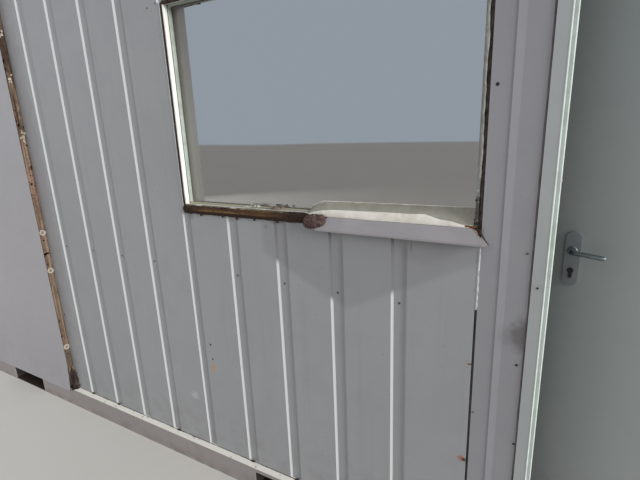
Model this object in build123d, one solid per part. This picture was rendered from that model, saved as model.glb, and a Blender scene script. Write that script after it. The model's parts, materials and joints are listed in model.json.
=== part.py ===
from build123d import *
import os

# Overall size
cabin_length = 6058
cabin_width = 2438
cabin_height = 2591

# The corner posts' faces, and the wall panels that share what is left between two posts
post_face_on_long_side = 154
post_face_on_short_side = 69
long_side_panels = 5
short_side_panels = 2
panel_gap = 0.6

# Base frame and roof frame, folded from plate and open towards the inside
base_rail_height = 108
base_rail_depth = 140
roof_rail_height = 118
roof_rail_depth = 120
gutter_lip = 30
frame_plate = 5
rail_inset = 5

# Corner blocks with their lifting slots
block_length = 178
block_width = 162
block_plate = 28
block_side = 14
slot_length = 124.5
slot_width = 63.5
slot_from_end = 102.5
slot_from_side = 89.5
side_slot_length = 79
side_slot_height = 51
side_slot_level = 54
cut_past = 10

# Tunnels that a lifting fork goes through
fork_width = 330
fork_height = 85
fork_spacing = 1990
fork_off_middle = 12
tunnel_plate = 5

# Floor and ceiling
bearer_width = 50
bearer_height = 100
bearer_plate = 4
deck_thickness = 24
ceiling_thickness = 12
roof_panel_thickness = 60
roof_rib_height = 20
roof_rib_width = 60
roof_rib_top = 30
roof_rib_pitch = 250
roof_gutter_gap = 60
roof_corner_gap = 6

# Ribbed wall panels
ledge = 32
wall_thickness = 80
groove_width = 54
groove_slope = 8
groove_depth = 6
groove_pitch = 223
joint_groove_width = 44
joint_groove_slope = 6
open_seam_width = 7
open_seam_depth = 9

# Smooth sheet that covers the second panel of the front
panels_left_of_cover = 1
cover_overlap = 80
cover_thickness = 2.5
cover_stand_off = 0.3
cover_return_thickness = 3
cover_below_rail_top = 18
cover_top_gap = 20
cover_rust_height = 84
cover_corner_worn = 24
cover_corner_height = 150

# Windows: one panel wide
panels_left_of_window = 3
window_bottom = 1262
window_height = 748
window_gap_left = 3
window_gap_right = 11
window_lip = 8
window_lip_proud = 2
window_reveal = 38
window_inner_bead = 24
window_depth = 76
glass_rebate = 4
glass_thickness = 20
glass_clearance = 0.3
sub_sill_height = 28
sub_sill_proud = 6

# Drip sills: a bent sheet with hipped ends; the left part of the front one has broken away
flashing_proud = 25
flashing_drop = 46
flashing_nose = 6
flashing_sheet = 3
flashing_end_overlap = 22
flashing_hip_at_top = 47
flashing_hip_at_nose = 17
flashing_left_over = 509
flashing_break_slant = 49

# Door: frame, threshold and a leaf that opens inwards, hinged on the right
panels_left_of_door = 4
door_outer_width = 875
door_header_height = 240
door_frame_proud = 3
door_face = 32
door_seal_step = 14
door_seal_set_back = 6
door_stop_depth = 38
door_rebate = 17
threshold_height = 20
threshold_slope = 8
leaf_thickness = 40
leaf_stop_gap = 5
leaf_hinge_gap = 5
leaf_free_gap = 8
leaf_top_gap = 5
leaf_floor_gap = 8
leaf_rest_angle = 12
edge_strip = 54
edge_lip = 2
edge_slope = 20
edge_depth = 1

# Hinges on the inner face
hinges_on_leaf = 3
hinge_from_leaf_end = 200
knuckle_radius = 8
knuckle_height = 50
pin_radius = 5
pin_clearance = 0.05
knuckle_clearance = 1
knuckle_step = 0.5
hinge_plate = 4
hinge_plate_reach = 45
hinge_pin_head = 6

# Lock and lever handles
lock_backset = 62
lever_level = 1170
lock_centres = 62
plate_width = 42
plate_height = 168
plate_thickness = 7
plate_above_lever = 58
lever_length = 92
lever_radius = 6.8
lever_corner_out = 31
lever_tip_out = 48
lever_bend = 16
neck_radius = 9
neck_out = 17
neck_clearance = 0.3
spindle_radius = 6
spindle_clearance = 1
cylinder_radius = 8.5
cylinder_tail = 10
cylinder_tail_length = 23
cylinder_proud = 3
cylinder_clearance = 0.3
key_slot_width = 2
key_slot_height = 8
key_slot_depth = 6

# Levels and planes that follow from the sizes above
half_length = cabin_length / 2
half_width = cabin_width / 2
wall_top = cabin_height - roof_rail_height
rail_x = half_length - rail_inset
rail_y = half_width - rail_inset
pan_x = rail_x - ledge
pan_y = rail_y - ledge
inner_x = pan_x - wall_thickness
inner_y = pan_y - wall_thickness
long_wall = cabin_length - 2 * post_face_on_long_side
short_wall = cabin_width - 2 * post_face_on_short_side
floor_top = base_rail_height + deck_thickness


def brick(x, y, z):
    # A box between a low and a high value along each axis
    size = Box(x[1] - x[0], y[1] - y[0], z[1] - z[0])
    return Pos((x[0] + x[1]) / 2, (y[0] + y[1]) / 2, (z[0] + z[1]) / 2) * size


def upright(points, low, high):
    # A plan outline raised from one level to another
    return Pos(0, 0, low) * extrude(make_face(Polyline(*points, close=True)), high - low)


def along_x(points, start, end):
    # An outline drawn as (distance into the wall, level), drawn out along X
    section = make_face(Plane.YZ * Polyline(*points, close=True))
    return Pos(start, 0, 0) * extrude(section, end - start, dir=(1, 0, 0))


def long_panel(place):
    # The left and right edge of a panel of a long wall, counted from the left
    width = long_wall / long_side_panels
    left = place * width - long_wall / 2
    return left + panel_gap / 2, left + width - panel_gap / 2


def short_panel(place):
    width = short_wall / short_side_panels
    left = place * width - short_wall / 2
    return left + panel_gap / 2, left + width - panel_gap / 2


def groove(centre):
    half = groove_width / 2
    return [
        (centre - half, 0),
        (centre - half + groove_slope, groove_depth),
        (centre + half - groove_slope, groove_depth),
        (centre + half, 0),
    ]


def ribbed_outline(left, right, half_left=True, half_right=True):
    # Plan outline of a wall sheet with its inner board: the outer face is at zero
    half = joint_groove_width / 2
    foot = half - joint_groove_slope
    grooves = int((right - left - joint_groove_width) / groove_pitch)
    first = (left + right - (grooves - 1) * groove_pitch) / 2
    points = []
    if half_left:
        points += [(left, groove_depth), (left + foot, groove_depth), (left + half, 0)]
    else:
        points += [(left, 0)]
    for number in range(grooves):
        points += groove(first + number * groove_pitch)
    if half_right:
        points += [(right - half, 0), (right - foot, groove_depth), (right, groove_depth)]
    else:
        points += [(right, 0)]
    return points + [(right, wall_thickness), (left, wall_thickness)]


def wall_panel(edges, low, high, half_left=True, half_right=True):
    # A half groove along each joint: two panels side by side make one whole groove
    return upright(ribbed_outline(*edges, half_left, half_right), low, high)


def open_seam(panel, low, high):
    # The joint between the window's panel and the door's has lost its filler
    seam = brick((window_right - open_seam_width, window_right), (0, open_seam_depth), (low, high))
    return panel - seam


def as_front(shape):
    return Pos(0, -pan_y, 0) * shape


def as_back(shape):
    return Rot(0, 0, 180) * as_front(shape)


def as_left(shape):
    return Rot(0, 0, -90) * (Pos(0, -pan_x, 0) * shape)


def as_right(shape):
    return Rot(0, 0, 90) * (Pos(0, -pan_x, 0) * shape)


def slot_cutter(length, width, depth):
    # A slot with round ends along X, cut as deep both ways along Z
    return extrude(SlotOverall(length, width), depth, both=True)


# Corner blocks: hollow castings with a slot in the flat face and one in each outer side
def corner_block(sign_x, sign_y, low, high, slot_on_top):
    outer_x, outer_y = half_length, half_width
    block = brick((outer_x - block_length, outer_x), (outer_y - block_width, outer_y), (low, high))
    block -= brick(
        (outer_x - block_length + block_side, outer_x - block_side),
        (outer_y - block_width + block_side, outer_y - block_side),
        (low + block_plate, high - block_plate),
    )
    face = high if slot_on_top else low
    flat_slot = slot_cutter(slot_length, slot_width, block_plate + cut_past)
    block -= Pos(outer_x - slot_from_end, outer_y - slot_from_side, face) * flat_slot
    level = high - side_slot_level if slot_on_top else low + side_slot_level
    side_slot = Rot(90, 0, 0) * slot_cutter(side_slot_length, side_slot_height, block_side + cut_past)
    block -= Pos(outer_x - slot_from_end, outer_y, level) * side_slot
    block -= Pos(outer_x, outer_y - slot_from_side, level) * (Rot(0, 0, 90) * side_slot)
    if sign_x < 0:
        block = mirror(block, Plane.YZ)
    if sign_y < 0:
        block = mirror(block, Plane.XZ)
    return block


corners = [(-1, -1), (1, -1), (1, 1), (-1, 1)]


def corner_blocks(low, high, slot_on_top):
    return Compound([corner_block(x, y, low, high, slot_on_top) for x, y in corners])


# Corner post: an angle that closes the gap between a long wall and a short wall
def corner_post(sign_x, sign_y):
    outline = [
        (rail_x, rail_y),
        (long_wall / 2, rail_y),
        (long_wall / 2, inner_y),
        (inner_x, inner_y),
        (inner_x, short_wall / 2),
        (rail_x, short_wall / 2),
    ]
    return upright([(sign_x * x, sign_y * y) for x, y in outline], base_rail_height, wall_top)


# Base rails: folded channels, the long ones with the mouths of the fork tunnels
def base_rail(face, start, end, fork_mouths):
    low, high = 0, base_rail_height
    inside = -face + base_rail_depth
    section = [
        (-face, low),
        (inside, low),
        (inside, low + frame_plate),
        (-face + frame_plate, low + frame_plate),
        (-face + frame_plate, high - frame_plate),
        (inside, high - frame_plate),
        (inside, high),
        (-face, high),
    ]
    rail = along_x(section, start, end)
    for place in fork_mouths:
        rail -= brick(
            (place - fork_width / 2, place + fork_width / 2),
            (-face - frame_plate, -face + 2 * frame_plate),
            (low + frame_plate, low + frame_plate + fork_height),
        )
    return rail


def roof_rail(face, start, end):
    low, high = wall_top, cabin_height
    section = [
        (-face, low),
        (-face + roof_rail_depth, low),
        (-face + roof_rail_depth, low + frame_plate),
        (-face + frame_plate, low + frame_plate),
        (-face + frame_plate, high - frame_plate),
        (-face + gutter_lip, high - frame_plate),
        (-face + gutter_lip, high),
        (-face, high),
    ]
    return along_x(section, start, end)


fork_places = [fork_off_middle - fork_spacing / 2, fork_off_middle + fork_spacing / 2]
long_rail_end = half_length - block_length
short_rail_end = half_width - block_width


def fork_tunnel(place):
    # An inverted channel from the web of one long rail to the web of the other
    half = fork_width / 2 + tunnel_plate
    low = frame_plate
    high = low + fork_height + tunnel_plate
    reach = rail_y - frame_plate
    tunnel = brick((place - half, place + half), (-reach, reach), (low, high))
    return tunnel - brick(
        (place - fork_width / 2, place + fork_width / 2), (-reach, reach), (low, low + fork_height)
    )


def bearer_places():
    # Half a panel apart, except where a fork tunnel takes the bearer's place
    pitch = long_wall / long_side_panels / 2
    room = (fork_width + bearer_width) / 2 + tunnel_plate
    places = [step * pitch for step in range(1 - long_side_panels, long_side_panels)]
    return [place for place in places if all(abs(place - fork) > room for fork in fork_places)]


def floor_bearer(place):
    # A channel on its side, between the open mouths of the long rails
    reach = rail_y - base_rail_depth
    high = base_rail_height
    low = high - bearer_height
    left, right = place - bearer_width / 2, place + bearer_width / 2
    bearer = brick((left, right), (-reach, reach), (low, high))
    mouth = brick((left + bearer_plate, right), (-reach, reach), (low + bearer_plate, high - bearer_plate))
    return bearer - mouth


# Roof panel: a flat insulated deck with trapezoid ribs across the cabin
def roof_panel():
    half_x = rail_x - frame_plate - roof_gutter_gap
    half_y = rail_y - frame_plate - roof_gutter_gap
    low = wall_top + frame_plate
    high = low + roof_panel_thickness
    count = int((half_x - roof_rib_width) / roof_rib_pitch)
    points = [(-half_x, low), (-half_x, high)]
    for step in range(-count, count + 1):
        middle = step * roof_rib_pitch
        points += [
            (middle - roof_rib_width / 2, high),
            (middle - roof_rib_top / 2, high + roof_rib_height),
            (middle + roof_rib_top / 2, high + roof_rib_height),
            (middle + roof_rib_width / 2, high),
        ]
    points += [(half_x, high), (half_x, low)]
    panel = extrude(make_face(Plane.XZ * Polyline(*points, close=True)), half_y, both=True)
    notch_x = long_rail_end - roof_corner_gap
    notch_y = short_rail_end - roof_corner_gap
    for sign_x, sign_y in corners:
        x = sorted((sign_x * notch_x, sign_x * cabin_length))
        y = sorted((sign_y * notch_y, sign_y * cabin_width))
        panel -= brick(x, y, (low - roof_rib_height, cabin_height))
    return panel


# Openings in the front wall
window_top = window_bottom + window_height
window_left, window_right = long_panel(panels_left_of_window)
door_edges = long_panel(panels_left_of_door)
door_left = (sum(door_edges) - door_outer_width) / 2
door_right = door_left + door_outer_width
door_top = wall_top - door_header_height


def door_side_panel(outer, inner):
    # A strip beside the door: a flat pan, and a raised edge that eases back to the level of the frame
    turn = 1 if inner > outer else -1
    outline = [
        (outer, 0),
        (outer + turn * edge_strip, 0),
        (outer + turn * edge_strip, -edge_lip),
        (outer + turn * (edge_strip + edge_slope), edge_depth),
        (inner, edge_depth),
        (inner, wall_thickness),
        (outer, wall_thickness),
    ]
    return as_front(upright(outline, base_rail_height, wall_top))


def door_header():
    return as_front(wall_panel((door_left, door_right), door_top, wall_top, False, False))


def cover_sheet():
    # A tray: a flat sheet with returns back to the wall, hung in front of the base rail
    left = long_panel(panels_left_of_cover)[0] - cover_overlap
    right = long_panel(panels_left_of_cover)[1] + cover_overlap
    front = -rail_y - cover_stand_off - cover_thickness
    back = -pan_y
    low = base_rail_height - cover_below_rail_top
    high = wall_top - cover_top_gap
    sheet = brick((left, right), (front, front + cover_thickness), (low, high))
    for edge in ((left, left + cover_return_thickness), (right - cover_return_thickness, right)):
        sheet += brick(edge, (front, back), (base_rail_height, high))
    sheet += brick((left, right), (front, back), (high - cover_return_thickness, high))
    return sheet - worn_corner(right, front, low) - rusted_foot(right, front + cover_thickness, back)


def worn_corner(right, front, low):
    # The sheet's lower right corner, worn away along a slanting line
    outline = [
        (right - cover_corner_worn, low - cut_past),
        (right - cover_corner_worn, low),
        (right, low + cover_corner_height),
        (right + cut_past, low - cut_past),
    ]
    face = make_face(Plane.XZ.offset(-front) * Polyline(*outline, close=True))
    return extrude(face, cover_thickness, both=True)


def rusted_foot(right, front, back):
    # What rust has eaten from the foot of the right return: a ragged bite, as (depth, height) shares
    bite = [(0, 0), (0, 0.55), (0.2, 0.95), (0.4, 0.6), (0.65, 1), (0.85, 0.45), (1, 0.7), (1, 0)]
    outline = [
        (front + depth * (back - front), base_rail_height + height * cover_rust_height)
        for depth, height in bite
    ]
    return along_x(outline, right - cover_return_thickness - cut_past, right + cut_past)


# Windows
def window_frame():
    # A box round the opening: the glass sits against a shoulder, held by a wider bead inside
    left, right = window_left + window_gap_left, window_right - window_gap_right
    low, high = window_bottom, window_top

    def ring(inset, front, back):
        outer = brick((left, right), (front, back), (low, high))
        return outer - brick((left + inset, right - inset), (front, back), (low + inset, high - inset))

    shoulder = -window_lip_proud + window_reveal
    bead = shoulder + glass_thickness + glass_clearance
    frame = ring(window_lip, -window_lip_proud, shoulder)
    frame += ring(window_lip - glass_rebate, shoulder, bead)
    frame += ring(window_inner_bead, bead, window_depth)
    return frame


def window_glass():
    inset = window_lip - glass_rebate + glass_clearance
    front = -window_lip_proud + window_reveal + glass_clearance / 2
    return brick(
        (window_left + window_gap_left + inset, window_right - window_gap_right - inset),
        (front, front + glass_thickness),
        (window_bottom + inset, window_top - inset),
    )


def sub_sill():
    # The steel strip under the frame, which shows where the flashing has broken away
    return brick(
        (window_left, window_right),
        (-sub_sill_proud, window_depth),
        (window_bottom - sub_sill_height, window_bottom),
    )


def hip_plane(end, turn):
    # The hipped end of a flashing: a plane through its upper, nose and wall corners
    foot = window_bottom - flashing_drop
    wall_corner = Vector(end, 0, foot)
    upper_corner = Vector(end - turn * flashing_hip_at_top, -sub_sill_proud, window_bottom)
    nose_corner = Vector(end - turn * flashing_hip_at_nose, -flashing_proud, foot + flashing_nose)
    outward = (upper_corner - wall_corner).cross(nose_corner - wall_corner)
    return Plane(wall_corner, z_dir=outward * (1 if outward.X * turn > 0 else -1))


def break_plane():
    # Where the front flashing has torn off: a slanting cut, square to the wall
    foot = window_bottom - flashing_drop
    upper = window_right + flashing_end_overlap - flashing_left_over
    along_cut = Vector(flashing_break_slant, 0, flashing_drop)
    return Plane(Vector(upper - flashing_break_slant, 0, foot), z_dir=along_cut.cross(Vector(0, 1, 0)))


def sill_flashing(broken):
    # A drip sill of bent sheet: it slopes out over the sub-sill and turns down at its nose
    foot = window_bottom - flashing_drop
    start, end = window_left - flashing_end_overlap, window_right + flashing_end_overlap
    section = [
        (0, window_bottom),
        (-sub_sill_proud, window_bottom),
        (-flashing_proud, foot + flashing_nose),
        (-flashing_proud, foot),
        (0, foot),
    ]
    form = along_x(section, start, end)
    form = split(form, hip_plane(end, 1), keep=Keep.BOTTOM)
    form = split(form, break_plane() if broken else hip_plane(start, -1), keep=Keep.BOTTOM)
    open_faces = [form.faces().sort_by(Axis.Z)[0], form.faces().sort_by(Axis.Y)[-1]]
    if broken:
        open_faces.append(form.faces().sort_by(Axis.X)[0])
    sheet = offset(form, -flashing_sheet, openings=open_faces)
    return sheet - sub_sill()


# Door frame: head and jambs of one folded section, with a stop that the leaf closes against
def door_frame():
    low, high = base_rail_height, door_top
    front = -door_frame_proud
    stop = front + door_stop_depth

    def portal(inset, near, far):
        outer = brick((door_left, door_right), (near, far), (low, high))
        return outer - brick((door_left + inset, door_right - inset), (near, far), (low, high - inset))

    frame = portal(door_face, front, front + door_seal_set_back)
    frame += portal(door_face + door_seal_step, front + door_seal_set_back, stop)
    frame += portal(door_rebate, stop, wall_thickness)
    return as_front(frame)


def door_threshold():
    front = -door_frame_proud
    stop = front + door_stop_depth
    low, high = base_rail_height, base_rail_height + threshold_height
    clear = door_face + door_seal_step
    section = [
        (front, low),
        (stop, low),
        (stop, high),
        (front + threshold_slope, high),
        (front, high - threshold_slope),
    ]
    sill = along_x(section, door_left + clear, door_right - clear)
    sill += brick((door_left + door_rebate, door_right - door_rebate), (stop, wall_thickness), (low, high))
    return as_front(sill)


# The leaf, in its closed place: then it is turned about the hinge to where it stands at rest
leaf_free = door_left + door_rebate + leaf_free_gap
leaf_hinge = door_right - door_rebate - leaf_hinge_gap
leaf_front = -pan_y - door_frame_proud + door_stop_depth + leaf_stop_gap
leaf_back = leaf_front + leaf_thickness
leaf_low = floor_top + leaf_floor_gap
leaf_high = door_top - door_rebate - leaf_top_gap
hinge_x = leaf_hinge + leaf_hinge_gap - knuckle_clearance
hinge_y = leaf_back + knuckle_radius + knuckle_clearance
lever_x = leaf_free + lock_backset
cylinder_z = lever_level - lock_centres


def at_rest(shape):
    return Pos(hinge_x, hinge_y, 0) * Rot(0, 0, -leaf_rest_angle) * Pos(-hinge_x, -hinge_y, 0) * shape


def cross_pin(radius, front, back, x, z):
    # A round bar through the leaf, from front to back
    return Pos(x, (front + back) / 2, z) * Rot(90, 0, 0) * Cylinder(radius, back - front)


def cylinder_shape(grow, front, back):
    # The keyhole outline of a lock cylinder: a round barrel with a narrower tail below
    barrel = cross_pin(cylinder_radius + grow, front, back, lever_x, cylinder_z)
    tail_low = cylinder_z - cylinder_tail_length - grow
    tail = brick(
        (lever_x - cylinder_tail / 2 - grow, lever_x + cylinder_tail / 2 + grow),
        (front, back),
        (tail_low + cylinder_tail / 2, cylinder_z),
    )
    foot = cross_pin(cylinder_tail / 2 + grow, front, back, lever_x, tail_low + cylinder_tail / 2)
    return barrel + tail + foot


def door_leaf():
    leaf = brick((leaf_free, leaf_hinge), (leaf_front, leaf_back), (leaf_low, leaf_high))
    leaf -= cross_pin(spindle_radius + spindle_clearance, leaf_front, leaf_back, lever_x, lever_level)
    leaf -= cylinder_shape(cylinder_clearance, leaf_front, leaf_back)
    return at_rest(leaf)


def lock_plate(near, far):
    # A plate with round ends, holed for the lever's neck and the lock cylinder
    middle = lever_level + plate_above_lever - plate_height / 2
    outline = Rot(90, 0, 0) * (Rot(0, 0, 90) * SlotOverall(plate_height, plate_width))
    plate = Pos(lever_x, (near + far) / 2, middle) * extrude(outline, (far - near) / 2, both=True)
    plate -= cross_pin(neck_radius + neck_clearance, near, far, lever_x, lever_level)
    return plate - cylinder_shape(cylinder_clearance, near, far)


def lock_plates():
    outer = lock_plate(leaf_front - plate_thickness, leaf_front)
    inner = lock_plate(leaf_back, leaf_back + plate_thickness)
    return at_rest(Compound([outer, inner]))


def lock_cylinder():
    front = leaf_front - plate_thickness - cylinder_proud
    back = leaf_back + plate_thickness + cylinder_proud
    lock = cylinder_shape(0, front, back)
    lock -= brick(
        (lever_x - key_slot_width / 2, lever_x + key_slot_width / 2),
        (front, front + key_slot_depth),
        (cylinder_z - key_slot_height / 2, cylinder_z + key_slot_height / 2),
    )
    return at_rest(lock)


def lever(outward, leaf_face):
    # A bent round bar: out of the plate, round a bend and across, on a spindle that reaches into the leaf
    def out(distance):
        return leaf_face + outward * distance

    middle = leaf_front + leaf_thickness / 2
    seat = out(spindle_clearance)
    near, far = sorted((middle, seat))
    spindle = cross_pin(spindle_radius, near, far, lever_x, lever_level)
    near, far = sorted((seat, out(neck_out)))
    neck = cross_pin(neck_radius, near, far, lever_x, lever_level)
    tip = (lever_x + lever_length - lever_radius, out(lever_tip_out), lever_level)
    route = FilletPolyline(
        (lever_x, seat, lever_level), (lever_x, out(lever_corner_out), lever_level), tip, radius=lever_bend
    )
    bar = sweep(Plane(route @ 0, z_dir=route % 0) * Circle(lever_radius), path=route)
    return at_rest(spindle + neck + bar + Pos(*tip) * Sphere(lever_radius))


# Hinges: the lower knuckle and its pin are on the frame, the upper knuckle is on the leaf
def hinge_levels():
    low, high = leaf_low + hinge_from_leaf_end, leaf_high - hinge_from_leaf_end
    return [low + step * (high - low) / (hinges_on_leaf - 1) for step in range(hinges_on_leaf)]


def knuckle(level, low, high):
    return Pos(hinge_x, hinge_y, level + (low + high) / 2) * Cylinder(knuckle_radius, high - low)


def hinge_wing(level, low, high, turn):
    reach = sorted((hinge_x, hinge_x + turn * hinge_plate_reach))
    return brick(reach, (leaf_back, leaf_back + hinge_plate), (level + low, level + high))


def frame_hinge(level):
    low, high = -knuckle_height, -knuckle_step
    half = knuckle(level, low, high) + hinge_wing(level, low, high, 1)
    pin_high = knuckle_height + hinge_pin_head
    half += Pos(hinge_x, hinge_y, level + pin_high / 2) * Cylinder(pin_radius, pin_high)
    return half


def leaf_hinge_half(level):
    low, high = knuckle_step, knuckle_height
    half = knuckle(level, low, high) + hinge_wing(level, low, high, -1)
    bore = Cylinder(pin_radius + pin_clearance, 2 * (knuckle_height + cut_past))
    return half - Pos(hinge_x, hinge_y, level) * bore


def build():
    parts = {}

    # Base frame
    parts["front_base_rail"] = base_rail(rail_y, -long_rail_end, long_rail_end, fork_places)
    opposite = [-place for place in fork_places]
    parts["back_base_rail"] = Rot(0, 0, 180) * base_rail(rail_y, -long_rail_end, long_rail_end, opposite)
    parts["left_base_rail"] = Rot(0, 0, -90) * base_rail(rail_x, -short_rail_end, short_rail_end, [])
    parts["right_base_rail"] = Rot(0, 0, 90) * base_rail(rail_x, -short_rail_end, short_rail_end, [])
    parts["fork_tunnels"] = Compound([fork_tunnel(place) for place in fork_places])
    parts["floor_bearers"] = Compound([floor_bearer(place) for place in bearer_places()])
    parts["floor_deck"] = brick((-inner_x, inner_x), (-inner_y, inner_y), (base_rail_height, floor_top))
    parts["bottom_corner_blocks"] = corner_blocks(0, base_rail_height, False)

    # Posts and roof frame
    for name, (sign_x, sign_y) in zip(("front_left", "front_right", "back_right", "back_left"), corners):
        parts[name + "_post"] = corner_post(sign_x, sign_y)
    parts["top_corner_blocks"] = corner_blocks(wall_top, cabin_height, True)
    parts["front_roof_rail"] = roof_rail(rail_y, -long_rail_end, long_rail_end)
    parts["back_roof_rail"] = Rot(0, 0, 180) * roof_rail(rail_y, -long_rail_end, long_rail_end)
    parts["left_roof_rail"] = Rot(0, 0, -90) * roof_rail(rail_x, -short_rail_end, short_rail_end)
    parts["right_roof_rail"] = Rot(0, 0, 90) * roof_rail(rail_x, -short_rail_end, short_rail_end)
    parts["roof_panel"] = roof_panel()
    parts["ceiling_board"] = brick(
        (-inner_x, inner_x), (-inner_y, inner_y), (wall_top - ceiling_thickness, wall_top)
    )

    # Walls
    low, high = base_rail_height, wall_top
    under_window = window_bottom - sub_sill_height
    window_edges = (window_left, window_right)
    parts["front_wall_panels"] = as_front(
        Compound([wall_panel(long_panel(place), low, high) for place in range(panels_left_of_window)])
    )
    apron = wall_panel(window_edges, low, under_window, True, False)
    header = wall_panel(window_edges, window_top, high, True, False)
    parts["front_window_apron"] = as_front(open_seam(apron, low, under_window))
    parts["front_window_header"] = as_front(open_seam(header, window_top, high))
    parts["door_panel_left"] = door_side_panel(door_edges[0], door_left)
    parts["door_panel_right"] = door_side_panel(door_edges[1], door_right)
    parts["door_panel_above"] = door_header()
    parts["cover_sheet"] = cover_sheet()
    whole_places = [place for place in range(long_side_panels) if place != panels_left_of_window]
    back_panels = [wall_panel(long_panel(place), low, high) for place in whole_places]
    back_panels.append(wall_panel(window_edges, low, under_window))
    back_panels.append(wall_panel(window_edges, window_top, high))
    parts["back_wall_panels"] = as_back(Compound(back_panels))
    end_panels = Compound([wall_panel(short_panel(place), low, high) for place in range(short_side_panels)])
    parts["left_wall_panels"] = as_left(end_panels)
    parts["right_wall_panels"] = as_right(end_panels)

    # Windows
    for side, turned in (("front", as_front), ("back", as_back)):
        parts[side + "_window_frame"] = turned(window_frame())
        parts[side + "_window_glass"] = turned(window_glass())
        parts[side + "_sub_sill"] = turned(sub_sill())
        parts[side + "_sill_flashing"] = turned(sill_flashing(broken=side == "front"))

    # Door
    parts["door_frame"] = door_frame()
    parts["door_threshold"] = door_threshold()
    parts["frame_hinges"] = Compound([frame_hinge(level) for level in hinge_levels()])
    parts["door_leaf"] = door_leaf()
    parts["leaf_hinges"] = at_rest(Compound([leaf_hinge_half(level) for level in hinge_levels()]))
    parts["lock_plates"] = lock_plates()
    parts["lock_cylinder"] = lock_cylinder()
    parts["outer_lever"] = lever(-1, leaf_front)
    parts["inner_lever"] = lever(1, leaf_back)
    return parts


os.makedirs("parts", exist_ok=True)
for node, shape in build().items():
    export_step(shape, os.path.join("parts", node + ".step"))
print("hinge axis", round(hinge_x, 2), round(hinge_y, 2))
print("lever axis, closed", round(lever_x, 2), "level", lever_level)
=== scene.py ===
import json
import math
import random

import bmesh
import bpy
from mathutils import Matrix, Vector, noise


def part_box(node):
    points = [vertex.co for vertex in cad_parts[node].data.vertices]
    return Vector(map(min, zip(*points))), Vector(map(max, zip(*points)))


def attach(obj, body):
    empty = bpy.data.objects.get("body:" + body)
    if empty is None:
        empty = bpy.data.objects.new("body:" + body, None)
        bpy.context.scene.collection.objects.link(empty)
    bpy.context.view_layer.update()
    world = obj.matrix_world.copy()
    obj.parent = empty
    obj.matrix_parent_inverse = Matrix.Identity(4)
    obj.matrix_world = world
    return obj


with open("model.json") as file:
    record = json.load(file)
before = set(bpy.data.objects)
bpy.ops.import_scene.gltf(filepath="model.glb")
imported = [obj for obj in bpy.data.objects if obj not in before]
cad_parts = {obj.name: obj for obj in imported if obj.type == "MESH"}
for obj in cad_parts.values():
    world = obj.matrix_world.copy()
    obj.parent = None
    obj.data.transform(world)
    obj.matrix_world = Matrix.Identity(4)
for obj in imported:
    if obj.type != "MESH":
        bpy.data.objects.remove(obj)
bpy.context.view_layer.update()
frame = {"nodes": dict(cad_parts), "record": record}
print("stage: frame loaded")


# Colours are written as they look on a screen, from 0 to 255
def ink(red, green, blue):
    def linear(value):
        share = value / 255
        return share / 12.92 if share <= 0.04045 else ((share + 0.055) / 1.055) ** 2.4

    return (linear(red), linear(green), linear(blue), 1.0)


class Wire:
    # A shader socket that takes part in plain arithmetic
    def __init__(self, finish, socket):
        self.finish = finish
        self.socket = socket

    def work(self, operation, first, second):
        return self.finish.node("ShaderNodeMath", {"operation": operation}, {0: first, 1: second})

    def __add__(self, other):
        return self.work("ADD", self, other)

    def __radd__(self, other):
        return self.work("ADD", other, self)

    def __sub__(self, other):
        return self.work("SUBTRACT", self, other)

    def __rsub__(self, other):
        return self.work("SUBTRACT", other, self)

    def __mul__(self, other):
        return self.work("MULTIPLY", self, other)

    def __rmul__(self, other):
        return self.work("MULTIPLY", other, self)


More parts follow.
